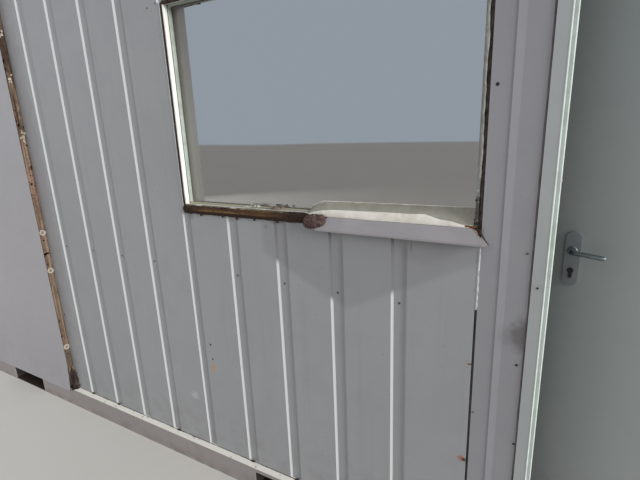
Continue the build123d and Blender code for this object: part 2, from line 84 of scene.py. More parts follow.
class Finish:
    # One material or world: its nodes, and the masks that the finishes share
    def __init__(self, name, owner=None, coordinates="Object"):
        self.owner = owner or bpy.data.materials.new(name)
        self.owner.use_nodes = True
        self.tree = self.owner.node_tree
        self.tree.nodes.clear()
        self.place = self.node("ShaderNodeTexCoord", output=coordinates)

    def node(self, kind, settings=None, sockets=None, output=0):
        made = self.tree.nodes.new(kind)
        for setting, value in (settings or {}).items():
            setattr(made, setting, value)
        for name, value in (sockets or {}).items():
            if isinstance(value, Wire):
                self.tree.links.new(value.socket, made.inputs[name])
            else:
                made.inputs[name].default_value = value
        return Wire(self, made.outputs[output]) if made.outputs else None

    def mix(self, mask, under, over):
        settings = {"data_type": "RGBA"}
        return self.node("ShaderNodeMix", settings, {0: mask, 6: under, 7: over}, output=2)

    def rise(self, value, low, high):
        # 0 at low and 1 at high, or the other way round where low is the larger
        settings = {"interpolation_type": "SMOOTHSTEP"}
        return self.node("ShaderNodeMapRange", settings, {"Value": value, "From Min": low, "From Max": high})

    def larger(self, first, second):
        return self.node("ShaderNodeMath", {"operation": "MAXIMUM"}, {0: first, 1: second})

    def unsigned(self, value):
        return self.node("ShaderNodeMath", {"operation": "ABSOLUTE"}, {0: value})

    def along(self, axis, vector=None):
        return self.node("ShaderNodeSeparateXYZ", None, {0: vector or self.place}, output=axis)

    def facing(self, axis):
        return self.along(axis, self.node("ShaderNodeNewGeometry", output="Normal"))

    def stretched(self, factors):
        return self.node("ShaderNodeVectorMath", {"operation": "MULTIPLY"}, {0: self.place, 1: factors})

    def cloud(self, size, detail=3.0, stretch=(1, 1, 1), roughness=0.55):
        # Noise with features of about this size, in metres
        sockets = {"Vector": self.stretched(stretch), "Scale": 1 / size, "Detail": detail}
        return self.node("ShaderNodeTexNoise", None, {**sockets, "Roughness": roughness})

    def cells(self, size):
        return self.node("ShaderNodeTexVoronoi", None, {"Vector": self.place, "Scale": 1 / size})

    def band(self, axis, low, high, soft):
        # 1 between two places along an axis, fading over a short way outside them
        place = self.along(axis)
        return self.rise(place, low - soft, low) * self.rise(place, high + soft, high)

    def onFront(self):
        # 1 on the front wall and all that it carries, 0 further back
        return self.rise(self.along(1), -1.0, -1.1)

    def spot(self, centre, radius, tall):
        # A soft ragged mark on the front, at (x, z), round or so many times taller than wide
        flat = self.stretched((1, 0, 1 / tall))
        middle = (centre[0], 0, centre[1] / tall)
        away = self.node("ShaderNodeVectorMath", {"operation": "DISTANCE"}, {0: flat, 1: middle}, output=1)
        uneven = away + (self.cloud(radius * 0.6) - 0.5) * radius
        return self.rise(uneven, radius, radius * 0.35) * self.onFront()

    def bump(self, height, distance, under=None):
        sockets = {"Height": height, "Distance": distance}
        if under:
            sockets["Normal"] = under
        return self.node("ShaderNodeBump", None, sockets)

    def shade(self, sockets):
        return self.node("ShaderNodeBsdfPrincipled", None, sockets)

    def done(self, shader):
        self.node("ShaderNodeOutputMaterial", None, {"Surface": shader})
        return self.owner


# Camera: solved from the photo's upright and level lines
cameraLook = {
    "place": (1.919, -2.432, 1.566),
    "focalPixels": 435.19,
    "imageWidth": 640,
    "right": (0.87168, 0.48859, -0.03824),
    "up": (-0.09501, 0.24501, 0.96485),
}


def addCamera(look):
    data = bpy.data.cameras.new("camera")
    data.sensor_width = 36
    data.lens = look["focalPixels"] * data.sensor_width / look["imageWidth"]
    data.clip_start = 0.05
    camera = bpy.data.objects.new("camera", data)
    right = Vector(look["right"]).normalized()
    back = right.cross(Vector(look["up"])).normalized()
    turn = Matrix((right, back.cross(right), back)).transposed()
    camera.matrix_world = Matrix.Translation(look["place"]) @ turn.to_4x4()
    bpy.context.scene.collection.objects.link(camera)
    bpy.context.scene.camera = camera


addCamera(cameraLook)
bpy.context.scene.view_settings.view_transform = "Standard"

# Studio: a pale sky all round, a soft sun low on the right, broad lamps at the left and behind
studioLook = {
    "sky": (0.97, 0.965, 0.98, 1),
    "skyLight": 0.58,
    "skySeen": (0.74, 0.85, 0.97, 1),
    "floor": ink(196, 194, 188),
    "floorWorn": ink(188, 186, 180),
    "floorHalf": 30.0,
}

# Each lamp: its kind, where it is, what it aims at, how wide it is (a sun's in degrees) and its strength
lampLooks = {
    "softSun": {"kind": "SUN", "place": (9.3, -3.2, 4.3), "aim": (0, -1.2, 1.2), "wide": 24, "strength": 3.5},
    "leftLamp": {"kind": "AREA", "place": (-5, -7, 3), "aim": (0, -1.2, 1.2), "wide": 5, "strength": 140},
    "backLamp": {"kind": "AREA", "place": (4, 8, 4), "aim": (0, 1.2, 1.2), "wide": 5, "strength": 250},
}


def addLamp(name, look):
    data = bpy.data.lights.new(name, look["kind"])
    data.energy = look["strength"]
    if look["kind"] == "SUN":
        data.angle = math.radians(look["wide"])
    else:
        data.shape = "DISK"
        data.size = look["wide"]
    lamp = bpy.data.objects.new(name, data)
    turn = (Vector(look["aim"]) - Vector(look["place"])).to_track_quat("-Z", "Y")
    lamp.matrix_world = Matrix.Translation(look["place"]) @ turn.to_matrix().to_4x4()
    lamp.visible_glossy = look["kind"] == "SUN"
    lamp.visible_transmission = False
    bpy.context.scene.collection.objects.link(lamp)


def addSky(look):
    world = bpy.data.worlds.new("studio")
    bpy.context.scene.world = world
    sky = Finish("studio", world, "Generated")
    kinds = ("Is Camera Ray", "Is Glossy Ray", "Is Transmission Ray")
    toCamera, toGloss, toGlass = [sky.node("ShaderNodeLightPath", output=kind) for kind in kinds]
    seen = sky.larger(sky.larger(toCamera, toGloss), toGlass)
    light = sky.node("ShaderNodeBackground", None, {"Color": look["sky"], "Strength": look["skyLight"]})
    plain = sky.node("ShaderNodeBackground", None, {"Color": look["skySeen"], "Strength": 1.0})
    both = sky.node("ShaderNodeMixShader", None, {0: seen, 1: light, 2: plain})
    sky.node("ShaderNodeOutputWorld", None, {"Surface": both})


def addFloor(look):
    ground = Finish("studioFloor")
    tone = ground.mix(ground.cloud(1.5), look["floor"], look["floorWorn"])
    ground.done(ground.shade({"Base Color": tone, "Roughness": 0.8}))
    half = look["floorHalf"]
    mesh = bpy.data.meshes.new("studioFloor")
    corners = [(-half, -half, 0), (half, -half, 0), (half, half, 0), (-half, half, 0)]
    mesh.from_pydata(corners, [], [(0, 1, 2, 3)])
    mesh.materials.append(ground.owner)
    floor = bpy.data.objects.new("studioFloor", mesh)
    bpy.context.scene.collection.objects.link(floor)


addSky(studioLook)
addFloor(studioLook)
for lampName, lampLook in lampLooks.items():
    addLamp(lampName, lampLook)
print("stage: camera and studio")

# Planes and levels of the cabin, read from its nodes
longFace = -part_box("front_window_apron")[0].y
shortFace = -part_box("left_wall_panels")[0].x
railFace = -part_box("front_base_rail")[0].y
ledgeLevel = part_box("front_base_rail")[1].z
coverLow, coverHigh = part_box("cover_sheet")
frameLow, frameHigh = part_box("front_window_frame")
doorLow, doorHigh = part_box("door_frame")


def sillShadowMask(paint, look):
    # 1 in the painted shadow under the front sill, whose foot is lowest below the sill's break
    across, level = paint.along(0), paint.along(2)
    above = level - paint.unsigned(across - look["sillShadowMiddle"]) * look["sillShadowPitch"]
    left, right = look["sillShadowWidth"]
    foot, head = look["sillShadowFoot"], look["sillShadowHead"]
    wide = paint.rise(across, left, left + 0.03) * paint.rise(across, right, right - 0.01)
    tall = paint.rise(above, foot, foot + 0.03) * paint.rise(level, head, head - 0.01)
    return wide * tall * paint.onFront()


# Painted sheet and steel: quiet mottling, dirt that runs down, a dull foot, fine peel in the paint
def agedPaint(name, look):
    paint = Finish(name)
    tone = paint.mix(paint.rise(paint.cloud(0.9), 0.35, 0.65), look["paint"], look["pale"])
    tone = paint.mix(paint.rise(paint.cloud(0.11, 5), 0.45, 0.75) * look["mottle"], tone, look["dull"])
    runs = paint.rise(paint.cloud(0.03, 4, (1, 1, 0.035)), 0.52, 0.78)
    foot = paint.rise(paint.along(2), look["footTop"], look["footBottom"])
    grime = paint.rise(paint.cloud(0.05, 6), 0.4, 0.7)
    tone = paint.mix(runs * look["runs"] + foot * grime * look["foot"], tone, look["dirt"])
    if "slope" in look:
        # Painted highlight: the side of each groove that faces the sun is painted paler than the pans, and
        # darker again in the painted shadow under the sill
        inSillShadow = sillShadowMask(paint, look)
        # Painted shadow: the pans under the sill are darkened
        tone = paint.mix(inSillShadow * look["sillShadowShare"], tone, look["sillShadowTone"])
        turned = paint.rise(paint.facing(0) * (0 - paint.facing(1)), 0.2, 0.45)
        slope = paint.mix(inSillShadow, look["slope"], look["slopeSheltered"])
        tone = paint.mix(turned * look["slopeShare"], tone, slope)
    if "ledge" in look:
        # The base rail's ledge is chalky with brown stains, and its top is painted paler as painted light
        # from above; its lower flange is painted black, as dirt and painted shade in the fork pockets
        upward = paint.rise(paint.facing(2), 0.6, 0.9)
        chalk = paint.mix(paint.rise(paint.cloud(0.025, 6), 0.60, 0.72), look["ledge"], look["ledgeStain"])
        onLedge = upward * paint.band(2, look["ledgeLow"], look["ledgeHigh"], 0.004)
        tone = paint.mix(onLedge, tone, chalk)
        tone = paint.mix(upward * paint.rise(paint.along(2), look["ledgeLow"], 0.01), tone, look["flange"])
    chips = paint.rise(paint.cells(look["chipSize"]), 0.16, 0.08) * paint.rise(paint.cloud(0.25), 0.52, 0.62)
    tone = paint.mix(chips * look["chips"], tone, look["dirt"])
    for mark in look.get("marks", []):
        spot = paint.spot(mark["at"], mark["radius"], mark.get("tall", 1.0))
        tone = paint.mix(spot * mark["share"], tone, mark["colour"])
    rough = paint.cloud(0.08, 4) * 0.16 + look["rough"]
    ripple = paint.bump(paint.cloud(0.45, 1), look["ripple"])
    peel = paint.bump(paint.cloud(0.0016, 2), 0.00006, ripple)
    sockets = {"Base Color": tone, "Roughness": rough, "Normal": peel}
    return paint, {**sockets, "Specular IOR Level": look["gloss"]}


wallLook = {
    "paint": ink(140, 141, 143),
    "pale": ink(144, 145, 147),
    "dull": ink(136, 137, 140),
    "dirt": ink(104, 97, 90),
    # Painted highlight on the groove sides that face the sun
    "slope": ink(190, 192, 192),
    "slopeShare": 0.8,
    # Painted shadow under the sill, on the groove sides and on the pans
    "slopeSheltered": ink(98, 98, 100),
    "sillShadowTone": ink(112, 112, 115),
    "sillShadowShare": 0.32,
    "sillShadowMiddle": 1.29,
    "sillShadowWidth": (0.94, 1.735),
    "sillShadowFoot": 0.925,
    "sillShadowHead": 1.27,
    "sillShadowPitch": 0.5,
    "mottle": 0.4,
    "runs": 0.08,
    "footTop": 0.42,
    "footBottom": 0.12,
    "foot": 0.2,
    "chipSize": 0.03,
    "chips": 0.25,
    "rough": 0.40,
    "ripple": 0.003,
    "gloss": 0.3,
    "marks": [
        # Painted shadow on the pan beside the cover's return
        {"at": (-0.450, 1.300), "radius": 0.090, "tall": 14.0, "share": 0.35, "colour": ink(116, 111, 113)},
        {"at": (0.631, 0.532), "radius": 0.022, "share": 0.5, "colour": ink(176, 128, 74)},
        {"at": (0.629, 0.646), "radius": 0.008, "share": 0.5, "colour": ink(140, 88, 48)},
        {"at": (1.703, 0.484), "radius": 0.015, "share": 0.75, "colour": ink(152, 88, 52)},
        {"at": (1.7120, 0.481), "radius": 0.010, "share": 0.9, "colour": ink(66, 34, 24)},
        {"at": (1.708, 0.833), "radius": 0.011, "tall": 0.5, "share": 0.5, "colour": ink(166, 112, 70)},
        {"at": (1.850, 0.958), "radius": 0.040, "tall": 1.7, "share": 0.55, "colour": ink(78, 72, 70)},
        {"at": (1.826, 0.950), "radius": 0.055, "share": 0.25, "colour": ink(84, 78, 76)},
        {"at": (0.490, 0.351), "radius": 0.030, "share": 0.35, "colour": ink(186, 187, 186)},
        {"at": (0.600, 1.222), "radius": 0.026, "share": 0.35, "colour": ink(84, 66, 54)},
        {"at": (0.975, 1.207), "radius": 0.010, "share": 0.5, "colour": ink(92, 90, 94)},
        {"at": (0.841, 1.226), "radius": 0.008, "share": 0.6, "colour": ink(70, 70, 90)},
        # Painted shade: the broad darker patch just under the flashing
        {"at": (1.560, 1.180), "radius": 0.130, "tall": 0.4, "share": 0.25, "colour": ink(104, 102, 106)},
        {"at": (1.523, 1.188), "radius": 0.0035, "tall": 7.0, "share": 0.6, "colour": ink(112, 84, 76)},
        {"at": (1.440, 1.211), "radius": 0.034, "tall": 0.12, "share": 0.6, "colour": ink(112, 84, 76)},
    ],
}

# Painted shade: the panel beside the door is painted a little darker than the others
doorPanelShadedLook = {
    **wallLook,
    "paint": ink(134, 134, 138),
    "pale": ink(138, 138, 142),
    "dull": ink(130, 130, 135),
}

frameLook = {
    "paint": ink(134, 128, 126),
    "pale": ink(140, 134, 132),
    "dull": ink(122, 116, 113),
    "dirt": ink(98, 82, 70),
    # The ledge's top: chalk, and painted light from above
    "ledge": ink(222, 219, 211),
    "ledgeStain": ink(160, 140, 116),
    "ledgeLow": 0.10,
    "ledgeHigh": 0.12,
    # Dirt and painted shade: the flange deep in the fork pockets is painted black
    "flange": ink(44, 36, 31),
    "mottle": 0.6,
    "runs": 0.14,
    "footTop": 0.06,
    "footBottom": 0.0,
    "foot": 0.5,
    "chipSize": 0.014,
    "chips": 0.4,
    "rough": 0.42,
    "ripple": 0.002,
    "gloss": 0.45,
}

doorFrameLook = {
    "paint": ink(150, 153, 154),
    "pale": ink(155, 158, 158),
    "dull": ink(143, 145, 146),
    "dirt": ink(108, 88, 82),
    "mottle": 0.4,
    "runs": 0.10,
    "footTop": 0.5,
    "footBottom": 0.1,
    "foot": 0.25,
    "chipSize": 0.012,
    "chips": 0.35,
    "rough": 0.34,
    "ripple": 0.0015,
    "gloss": 0.5,
    "marks": [{"at": (1.876, 1.109), "radius": 0.016, "share": 0.10, "colour": ink(100, 92, 86)}],
}

leafLook = {
    "paint": ink(149, 156, 155),
    "pale": ink(155, 160, 158),
    "dull": ink(143, 149, 149),
    "dirt": ink(120, 123, 121),
    "mottle": 0.3,
    "runs": 0.05,
    "footTop": 0.5,
    "footBottom": 0.14,
    "foot": 0.25,
    "chipSize": 0.02,
    "chips": 0.1,
    "rough": 0.3,
    "ripple": 0.0012,
    "gloss": 0.5,
}


def plainPaint(name, look):
    paint, sockets = agedPaint(name, look)
    return paint.done(paint.shade(sockets))


# The cover sheet is smooth and grey; its side returns have lost their paint and rusted
coverLook = {
    "paint": ink(149, 147, 151),
    "pale": ink(153, 151, 154),
    "dull": ink(145, 142, 146),
    "dirt": ink(120, 116, 114),
    "mottle": 0.3,
    "runs": 0.05,
    "footTop": 0.5,
    "footBottom": 0.1,
    "foot": 0.15,
    "chipSize": 0.05,
    "chips": 0.12,
    "rough": 0.34,
    "ripple": 0.003,
    "gloss": 0.35,
    "returnDark": ink(48, 37, 31),
    "returnBrown": ink(76, 58, 48),
    "returnTan": ink(100, 84, 68),
    "returnSpeck": ink(34, 26, 22),
    "tanFrom": 1.75,
    "tanTo": 1.15,
}


def coverPaint(name, look):
    paint, sockets = agedPaint(name, look)
    side = paint.facing(0)
    onReturn = paint.rise(side * side, 0.5, 0.9)
    streaks = paint.rise(paint.cloud(0.012, 6, (1, 1, 0.25)), 0.4, 0.6)
    scale = paint.mix(streaks, look["returnDark"], look["returnBrown"])
    lower = paint.rise(paint.along(2), look["tanFrom"], look["tanTo"])
    tan = paint.rise(paint.cloud(0.014, 5, (1, 1, 0.12)), 0.42, 0.6) * lower
    scale = paint.mix(tan, scale, look["returnTan"])
    specks = paint.rise(paint.cells(0.012), 0.25, 0.12) * paint.rise(paint.cloud(0.06), 0.5, 0.6)
    scale = paint.mix(specks, scale, look["returnSpeck"])
    sockets["Base Color"] = paint.mix(onReturn, sockets["Base Color"], scale)
    sockets["Roughness"] = sockets["Roughness"] + onReturn * 0.4
    sockets["Normal"] = paint.bump(paint.cloud(0.006, 6) * onReturn, 0.001, sockets["Normal"])
    return paint.done(paint.shade(sockets))


# Rust: dark scale, brown and golden bloom, a pitted skin
def rust(name, look):
    scale = Finish(name)
    tone = scale.mix(scale.rise(scale.cloud(0.02, 6, look["grain"]), 0.38, 0.6), look["dark"], look["brown"])
    bloom = scale.rise(scale.cloud(look["bloomSize"], 5, look["grain"]), 0.44, 0.62)
    if "bloomFrom" in look:
        # The golden bloom keeps to a stretch of the sill, above its wet lower edge
        bloom = bloom * scale.band(0, look["bloomFrom"], look["bloomTo"], 0.08)
        upper = scale.rise(scale.along(2), look["bloomLow"], look["bloomLow"] + 0.008)
        bloom = bloom * upper
        tone = scale.mix(upper, look["dark"], tone)
    tone = scale.mix(bloom * look["bloom"], tone, look["gold"])
    pores = scale.rise(scale.cells(0.004), 0.3, 0.1) * 0.5
    tone = scale.mix(pores, tone, look["dark"])
    skin = scale.bump(scale.cloud(0.005, 6, roughness=0.7), look["relief"])
    sockets = {"Base Color": tone, "Roughness": 0.85, "Normal": skin, "Specular IOR Level": 0.25}
    return scale.done(scale.shade(sockets))


rustLooks = {
    "sillRust": {
        "dark": ink(42, 29, 23), "brown": ink(74, 52, 36), "gold": ink(134, 102, 60), "bloom": 0.85,
        "bloomFrom": 0.66, "bloomTo": 0.96, "bloomLow": 1.243, "bloomSize": 0.03, "grain": (0.12, 1, 1),
        "relief": 0.0007,
    },
    "lumpRust": {
        "dark": ink(54, 41, 38), "brown": ink(76, 58, 54), "gold": ink(120, 100, 94), "bloom": 0.45,
        "bloomSize": 0.005, "grain": (1, 1, 1), "relief": 0.0012,
    },
    "orangeRust": {
        "dark": ink(52, 34, 26), "brown": ink(96, 56, 34), "gold": ink(138, 88, 50), "bloom": 0.55,
        "bloomSize": 0.01, "grain": (1, 1, 1), "relief": 0.001,
    },
    "blackScale": {
        "dark": ink(24, 20, 18), "brown": ink(44, 34, 30), "gold": ink(72, 54, 44), "bloom": 0.4,
        "bloomSize": 0.02, "grain": (1, 1, 0.5), "relief": 0.001,
    },
    "brownShard": {
        "dark": ink(30, 23, 20), "brown": ink(54, 39, 33), "gold": ink(92, 74, 62), "bloom": 0.4,
        "bloomSize": 0.012, "grain": (1, 1, 1), "relief": 0.0006,
    },
}


# Plain finishes that need little more than tone, wear and a fine skin: the tone, the worn tone, the size
# of the wear, the roughness, the size of the grain, its relief, and how metallic it is
plainLooks = {
    "sealGrey": (ink(158, 167, 158), ink(138, 147, 137), 0.03, 0.5, 0.002, 0.00008, 0.0),
    "beadGrey": (ink(142, 140, 128), ink(130, 127, 115), 0.03, 0.35, 0.003, 0.0001, 0.0),
    "seamDirt": (ink(88, 74, 72), ink(52, 42, 38), 0.02, 0.8, 0.003, 0.0006, 0.0),
    "frameJointDirtAndShade": (ink(94, 84, 87), ink(74, 64, 62), 0.03, 0.7, 0.003, 0.0003, 0.0),
    "seamFiller": (ink(46, 46, 45), ink(66, 66, 64), 0.03, 0.6, 0.003, 0.0003, 0.0),
    "seamEdge": (ink(206, 207, 208), ink(180, 180, 180), 0.02, 0.4, 0.003, 0.0002, 0.0),
    "doorSeal": (ink(204, 214, 208), ink(190, 199, 193), 0.04, 0.3, 0.003, 0.00005, 0.0),
    "darkSealAndShade": (ink(60, 56, 52), ink(84, 76, 68), 0.01, 0.6, 0.002, 0.0002, 0.0),
    "gapDirt": (ink(42, 34, 30), ink(74, 56, 46), 0.012, 0.8, 0.003, 0.0008, 0.0),
    "paleSealant": (ink(130, 131, 127), ink(108, 105, 100), 0.02, 0.6, 0.004, 0.0004, 0.0),
    "tornWhite": (ink(222, 219, 212), ink(204, 199, 188), 0.03, 0.5, 0.004, 0.0003, 0.0),
    "paleFlake": (ink(206, 211, 194), ink(140, 132, 112), 0.008, 0.6, 0.004, 0.0003, 0.0),
    "pinkFlake": (ink(148, 130, 118), ink(98, 80, 68), 0.010, 0.6, 0.004, 0.0003, 0.0),
    "capPlastic": (ink(164, 157, 144), ink(132, 121, 104), 0.006, 0.5, 0.002, 0.0001, 0.0),
    "capRust": (ink(122, 110, 94), ink(86, 72, 60), 0.004, 0.7, 0.002, 0.0002, 0.0),
    "floorVinyl": (ink(112, 112, 110), ink(98, 97, 94), 0.2, 0.4, 0.004, 0.0001, 0.0),
    "innerBoard": (ink(206, 203, 194), ink(198, 194, 184), 0.5, 0.5, 0.006, 0.0001, 0.0),
    "roofSheet": (ink(160, 163, 165), ink(136, 137, 136), 0.15, 0.4, 0.02, 0.0002, 0.4),
    "zincPlate": (ink(150, 150, 148), ink(120, 118, 112), 0.02, 0.35, 0.003, 0.0001, 0.8),
    "dullScrew": (ink(98, 96, 94), ink(72, 66, 62), 0.004, 0.5, 0.001, 0.0001, 0.5),
    "screwHole": (ink(28, 26, 26), ink(44, 36, 32), 0.004, 0.8, 0.001, 0.0001, 0.0),
    "lockPlastic": (ink(130, 136, 138), ink(122, 128, 129), 0.03, 0.32, 0.0012, 0.00004, 0.0),
    "blackCylinder": (ink(40, 40, 40), ink(58, 55, 50), 0.006, 0.45, 0.002, 0.00005, 0.4),
    "leverAluminium": (ink(142, 150, 151), ink(122, 129, 130), 0.02, 0.26, 0.002, 0.00003, 0.75),
    # Dirt and painted shade: the fork pockets are painted near black
    "tunnelDirtAndShade": (ink(46, 38, 33), ink(34, 28, 25), 0.1, 0.9, 0.01, 0.0005, 0.0),
}

# The seals' foot is stained up to this level
sealStain = {"tone": ink(148, 144, 122), "top": 1.2790, "soft": 0.002}


def plainFinish(name, look):
    tone, worn, size, rough, grain, relief, metal = look
    stuff = Finish(name)
    tone = stuff.mix(stuff.rise(stuff.cloud(size, 5), 0.35, 0.7), tone, worn)
    if name == "sealGrey":
        foot = stuff.rise(stuff.along(2), sealStain["top"], sealStain["top"] - sealStain["soft"])
        tone = stuff.mix(foot, tone, sealStain["tone"])
    uneven = stuff.cloud(size * 0.4, 4) * 0.2 + rough
    skin = stuff.bump(stuff.cloud(grain, 3), relief)
    sockets = {"Base Color": tone, "Roughness": uneven, "Normal": skin, "Metallic": metal}
    return stuff.done(stuff.shade(sockets))


# The cover's bare return: rust in upright bands, darkest along both edges and towards the foot
returnLook = {
    "dark": ink(56, 43, 36),
    "brown": ink(94, 76, 62),
    "tan": ink(130, 112, 95),
    "red": ink(126, 92, 78),
    "redLevel": 1.31,
    "foot": ink(70, 64, 52),
    "darkAbove": 1.58,
    "darkBelow": 0.37,
    "bandWidth": 0.011,
    "speck": ink(38, 28, 22),
}


def returnRust(name, look):
    scale = Finish(name)
    level, across = scale.along(2), scale.along(1)
    bands = scale.rise(scale.cloud(look["bandWidth"], 4, (1, 1, 0.03)), 0.42, 0.60)
    tone = scale.mix(bands, look["brown"], look["tan"])
    blotches = scale.rise(scale.cloud(0.05, 5), 0.5, 0.7)
    tone = scale.mix(blotches * 0.5, tone, look["brown"])
    seams = scale.rise(scale.cloud(look["bandWidth"] * 0.6, 3, (1, 1, 0.02)), 0.57, 0.66)
    front, wall = coverLow.y, -longFace
    frontEdge = scale.rise(across, front + 0.006, front + 0.001)
    edges = scale.larger(frontEdge, scale.rise(across, wall - 0.007, wall - 0.001))
    worn = scale.rise(scale.cloud(0.04, 4, (1, 1, 0.2)), 0.35, 0.6)
    tone = scale.mix(scale.larger(seams * 0.8, edges * worn), tone, look["dark"])
    red = scale.band(2, look["redLevel"] - 0.05, look["redLevel"] + 0.05, 0.12)
    red = red * scale.rise(scale.cloud(0.02, 5), 0.4, 0.55)
    tone = scale.mix(red * 0.45, tone, look["red"])
    upper = scale.rise(level, look["darkAbove"] - 0.06, look["darkAbove"] + 0.04)
    tone = scale.mix(upper * scale.rise(scale.cloud(0.014, 4, (1, 1, 0.05)), 0.36, 0.52), tone, look["dark"])
    lower = scale.rise(level, look["darkBelow"] + 0.06, look["darkBelow"] - 0.06)
    tone = scale.mix(lower * 0.8, tone, look["foot"])
    specks = scale.rise(scale.cells(0.009), 0.26, 0.12) * scale.rise(scale.cloud(0.07), 0.5, 0.62)
    tone = scale.mix(specks, tone, look["speck"])
    skin = scale.bump(scale.cloud(0.004, 6, (1, 1, 0.4), 0.7), 0.0007)
    sockets = {"Base Color": tone, "Roughness": 0.85, "Normal": skin, "Specular IOR Level": 0.25}
    return scale.done(scale.shade(sockets))


# White plastic of the windows: yellowed and stained low down, dirty beige along the open seam
plasticLook = {
    "white": ink(232, 233, 226),
    "yellowed": ink(216, 211, 196),
    "stain": ink(150, 132, 108),
    "foot": ink(104, 94, 74),
    "footStreak": ink(186, 180, 158),
    "footFrom": 1.2708,
    "footTo": 1.2690,
    "seam": ink(118, 120, 117),
    "seamBlack": ink(64, 60, 56),
    "seamBlackFrom": 1.372,
    "seamFrom": 1.700,
}


def windowPlastic(name, look):
    plastic = Finish(name)
    level = plastic.along(2)
    tone = plastic.mix(plastic.rise(plastic.cloud(0.2, 4), 0.5, 0.8), look["white"], look["yellowed"])
    streaks = plastic.rise(plastic.cloud(0.01, 4, (1, 1, 0.05)), 0.6, 0.75) * 0.3
    tone = plastic.mix(streaks, tone, look["stain"])
    seam = plastic.rise(plastic.along(0), look["seamFrom"], look["seamFrom"] + 0.004) * plastic.onFront()
    black = plastic.rise(level, look["seamBlackFrom"], look["seamBlackFrom"] - 0.03)
    black = black * plastic.rise(plastic.cloud(0.012, 5), 0.3, 0.5)
    beside = plastic.mix(black, look["seam"], look["seamBlack"])
    tone = plastic.mix(seam * plastic.rise(plastic.cloud(0.02, 5), 0.2, 0.4), tone, beside)
    runs = plastic.rise(plastic.cloud(0.012, 5, (0.3, 1, 1)), 0.5, 0.64)
    foot = plastic.mix(runs, look["foot"], look["footStreak"])
    tone = plastic.mix(plastic.rise(level, look["footFrom"], look["footTo"]), tone, foot)
    skin = plastic.bump(plastic.cloud(0.003, 3), 0.00008)
    rough = plastic.cloud(0.02, 4) * 0.2 + 0.28
    return plastic.done(plastic.shade({"Base Color": tone, "Roughness": rough, "Normal": skin}))


# Painted drip sills: the torn end of the front one has rusted
flashingLook = {
    "paint": ink(137, 134, 136),
    "pale": ink(143, 140, 142),
    "scuff": ink(116, 112, 112),
    "rust": ink(126, 84, 58),
    "hipShade": ink(116, 113, 112),
    "tornFrom": 1.206,
    "tornTo": 1.190,
}


def flashingPaint(name, look):
    paint = Finish(name)
    tone = paint.mix(paint.rise(paint.cloud(0.1, 4), 0.4, 0.7), look["paint"], look["pale"])
    scuffs = paint.rise(paint.cloud(0.012, 5, (0.3, 1, 1)), 0.62, 0.74) * 0.6
    tone = paint.mix(scuffs, tone, look["scuff"])
    side = paint.facing(0)
    # Painted shade: the faces that look sideways, the hips, are painted darker
    tone = paint.mix(paint.rise(side * side, 0.04, 0.25), tone, look["hipShade"])
    torn = paint.rise(paint.along(0), look["tornFrom"], look["tornTo"]) * paint.onFront()
    torn = torn * paint.rise(paint.cloud(0.01, 5), 0.35, 0.55)
    tone = paint.mix(torn, tone, look["rust"])
    rough = paint.cloud(0.04, 4) * 0.2 + 0.3
    skin = paint.bump(paint.cloud(0.02, 3), 0.0003)
    return paint.done(paint.shade({"Base Color": tone, "Roughness": rough, "Normal": skin}))


# Window glass with a mirror film: it throws back the sky and the ground, and is grimy at its edges
glassLook = {
    "film": (0.42, 0.415, 0.41, 1),
    "filmDirt": ink(112, 108, 98),
    "glassTint": (0.55, 0.60, 0.60, 1),
    "through": 0.14,
    "edge": 0.004,
    "sideReach": 0.014,
    "footReach": 0.010,
    "headReach": 0.006,
    # Painted reflection of the reveal, in a dull strip beside the left seal
    "revealReflection": ink(134, 133, 126),
    "revealReflectionHigh": ink(98, 92, 88),
    "revealReflectionShare": 0.85,
    "revealReflectionTo": 0.6520,
}


def windowGlass(name, look):
    glass = Finish(name)
    low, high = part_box("front_window_glass")
    # How near the pane's edges a point lies, on the front pane or, turned about, on the back one
    across, level, edge = glass.unsigned(glass.along(0)), glass.along(2), look["edge"]
    nearSide = glass.larger(
        glass.rise(across, low.x + look["sideReach"], low.x + edge),
        glass.rise(across, high.x - look["sideReach"], high.x - edge),
    )
    nearEnd = glass.larger(
        glass.rise(level, low.z + look["footReach"], low.z + edge),
        glass.rise(level, high.z - look["headReach"], high.z - edge),
    )
    grime = glass.larger(nearSide, nearEnd) * glass.rise(glass.cloud(0.008, 5), 0.42, 0.6)
    film = glass.cloud(0.2, 5) * 0.03 + 0.01
    wave = glass.bump(glass.cloud(0.6, 1), 0.0006)
    tone = glass.mix(grime * 0.5, look["film"], look["filmDirt"])
    # Painted reflection: a dull strip runs down beside the pane's left seal in place of the mirrored reveal,
    # darker towards the head
    revealReflection = glass.rise(across, look["revealReflectionTo"], look["revealReflectionTo"] - 0.004) * look["revealReflectionShare"]
    dull = glass.mix(glass.rise(level, 1.45, 2.0), look["revealReflection"], look["revealReflectionHigh"])
    tone = glass.mix(revealReflection, tone, dull)
    rough = film + grime * 0.5 + revealReflection * 0.2
    mirror = glass.shade({"Base Color": tone, "Metallic": 1 - revealReflection, "Roughness": rough, "Normal": wave})
    clear = glass.shade({
        "Base Color": look["glassTint"], "Roughness": film, "Transmission Weight": 1.0, "IOR": 1.5,
    })
    return glass.done(glass.node("ShaderNodeMixShader", None, {0: look["through"], 1: mirror, 2: clear}))


# Every finish by its name: how it is made, and its settings
finishMakers = {
    **{name: (plainFinish, look) for name, look in plainLooks.items()},
    **{name: (rust, look) for name, look in rustLooks.items()},
    "wallPaint": (plainPaint, wallLook),
    "doorPanelShadedPaint": (plainPaint, doorPanelShadedLook),
    "framePaint": (plainPaint, frameLook),
    "doorFramePaint": (plainPaint, doorFrameLook),
    "leafPaint": (plainPaint, leafLook),
    "coverPaint": (coverPaint, coverLook),
    "returnRust": (returnRust, returnLook),
    "windowPlastic": (windowPlastic, plasticLook),
    "flashingPaint": (flashingPaint, flashingLook),
    "windowGlass": (windowGlass, glassLook),
}
finishes = {name: make(name, look) for name, (make, look) in finishMakers.items()}

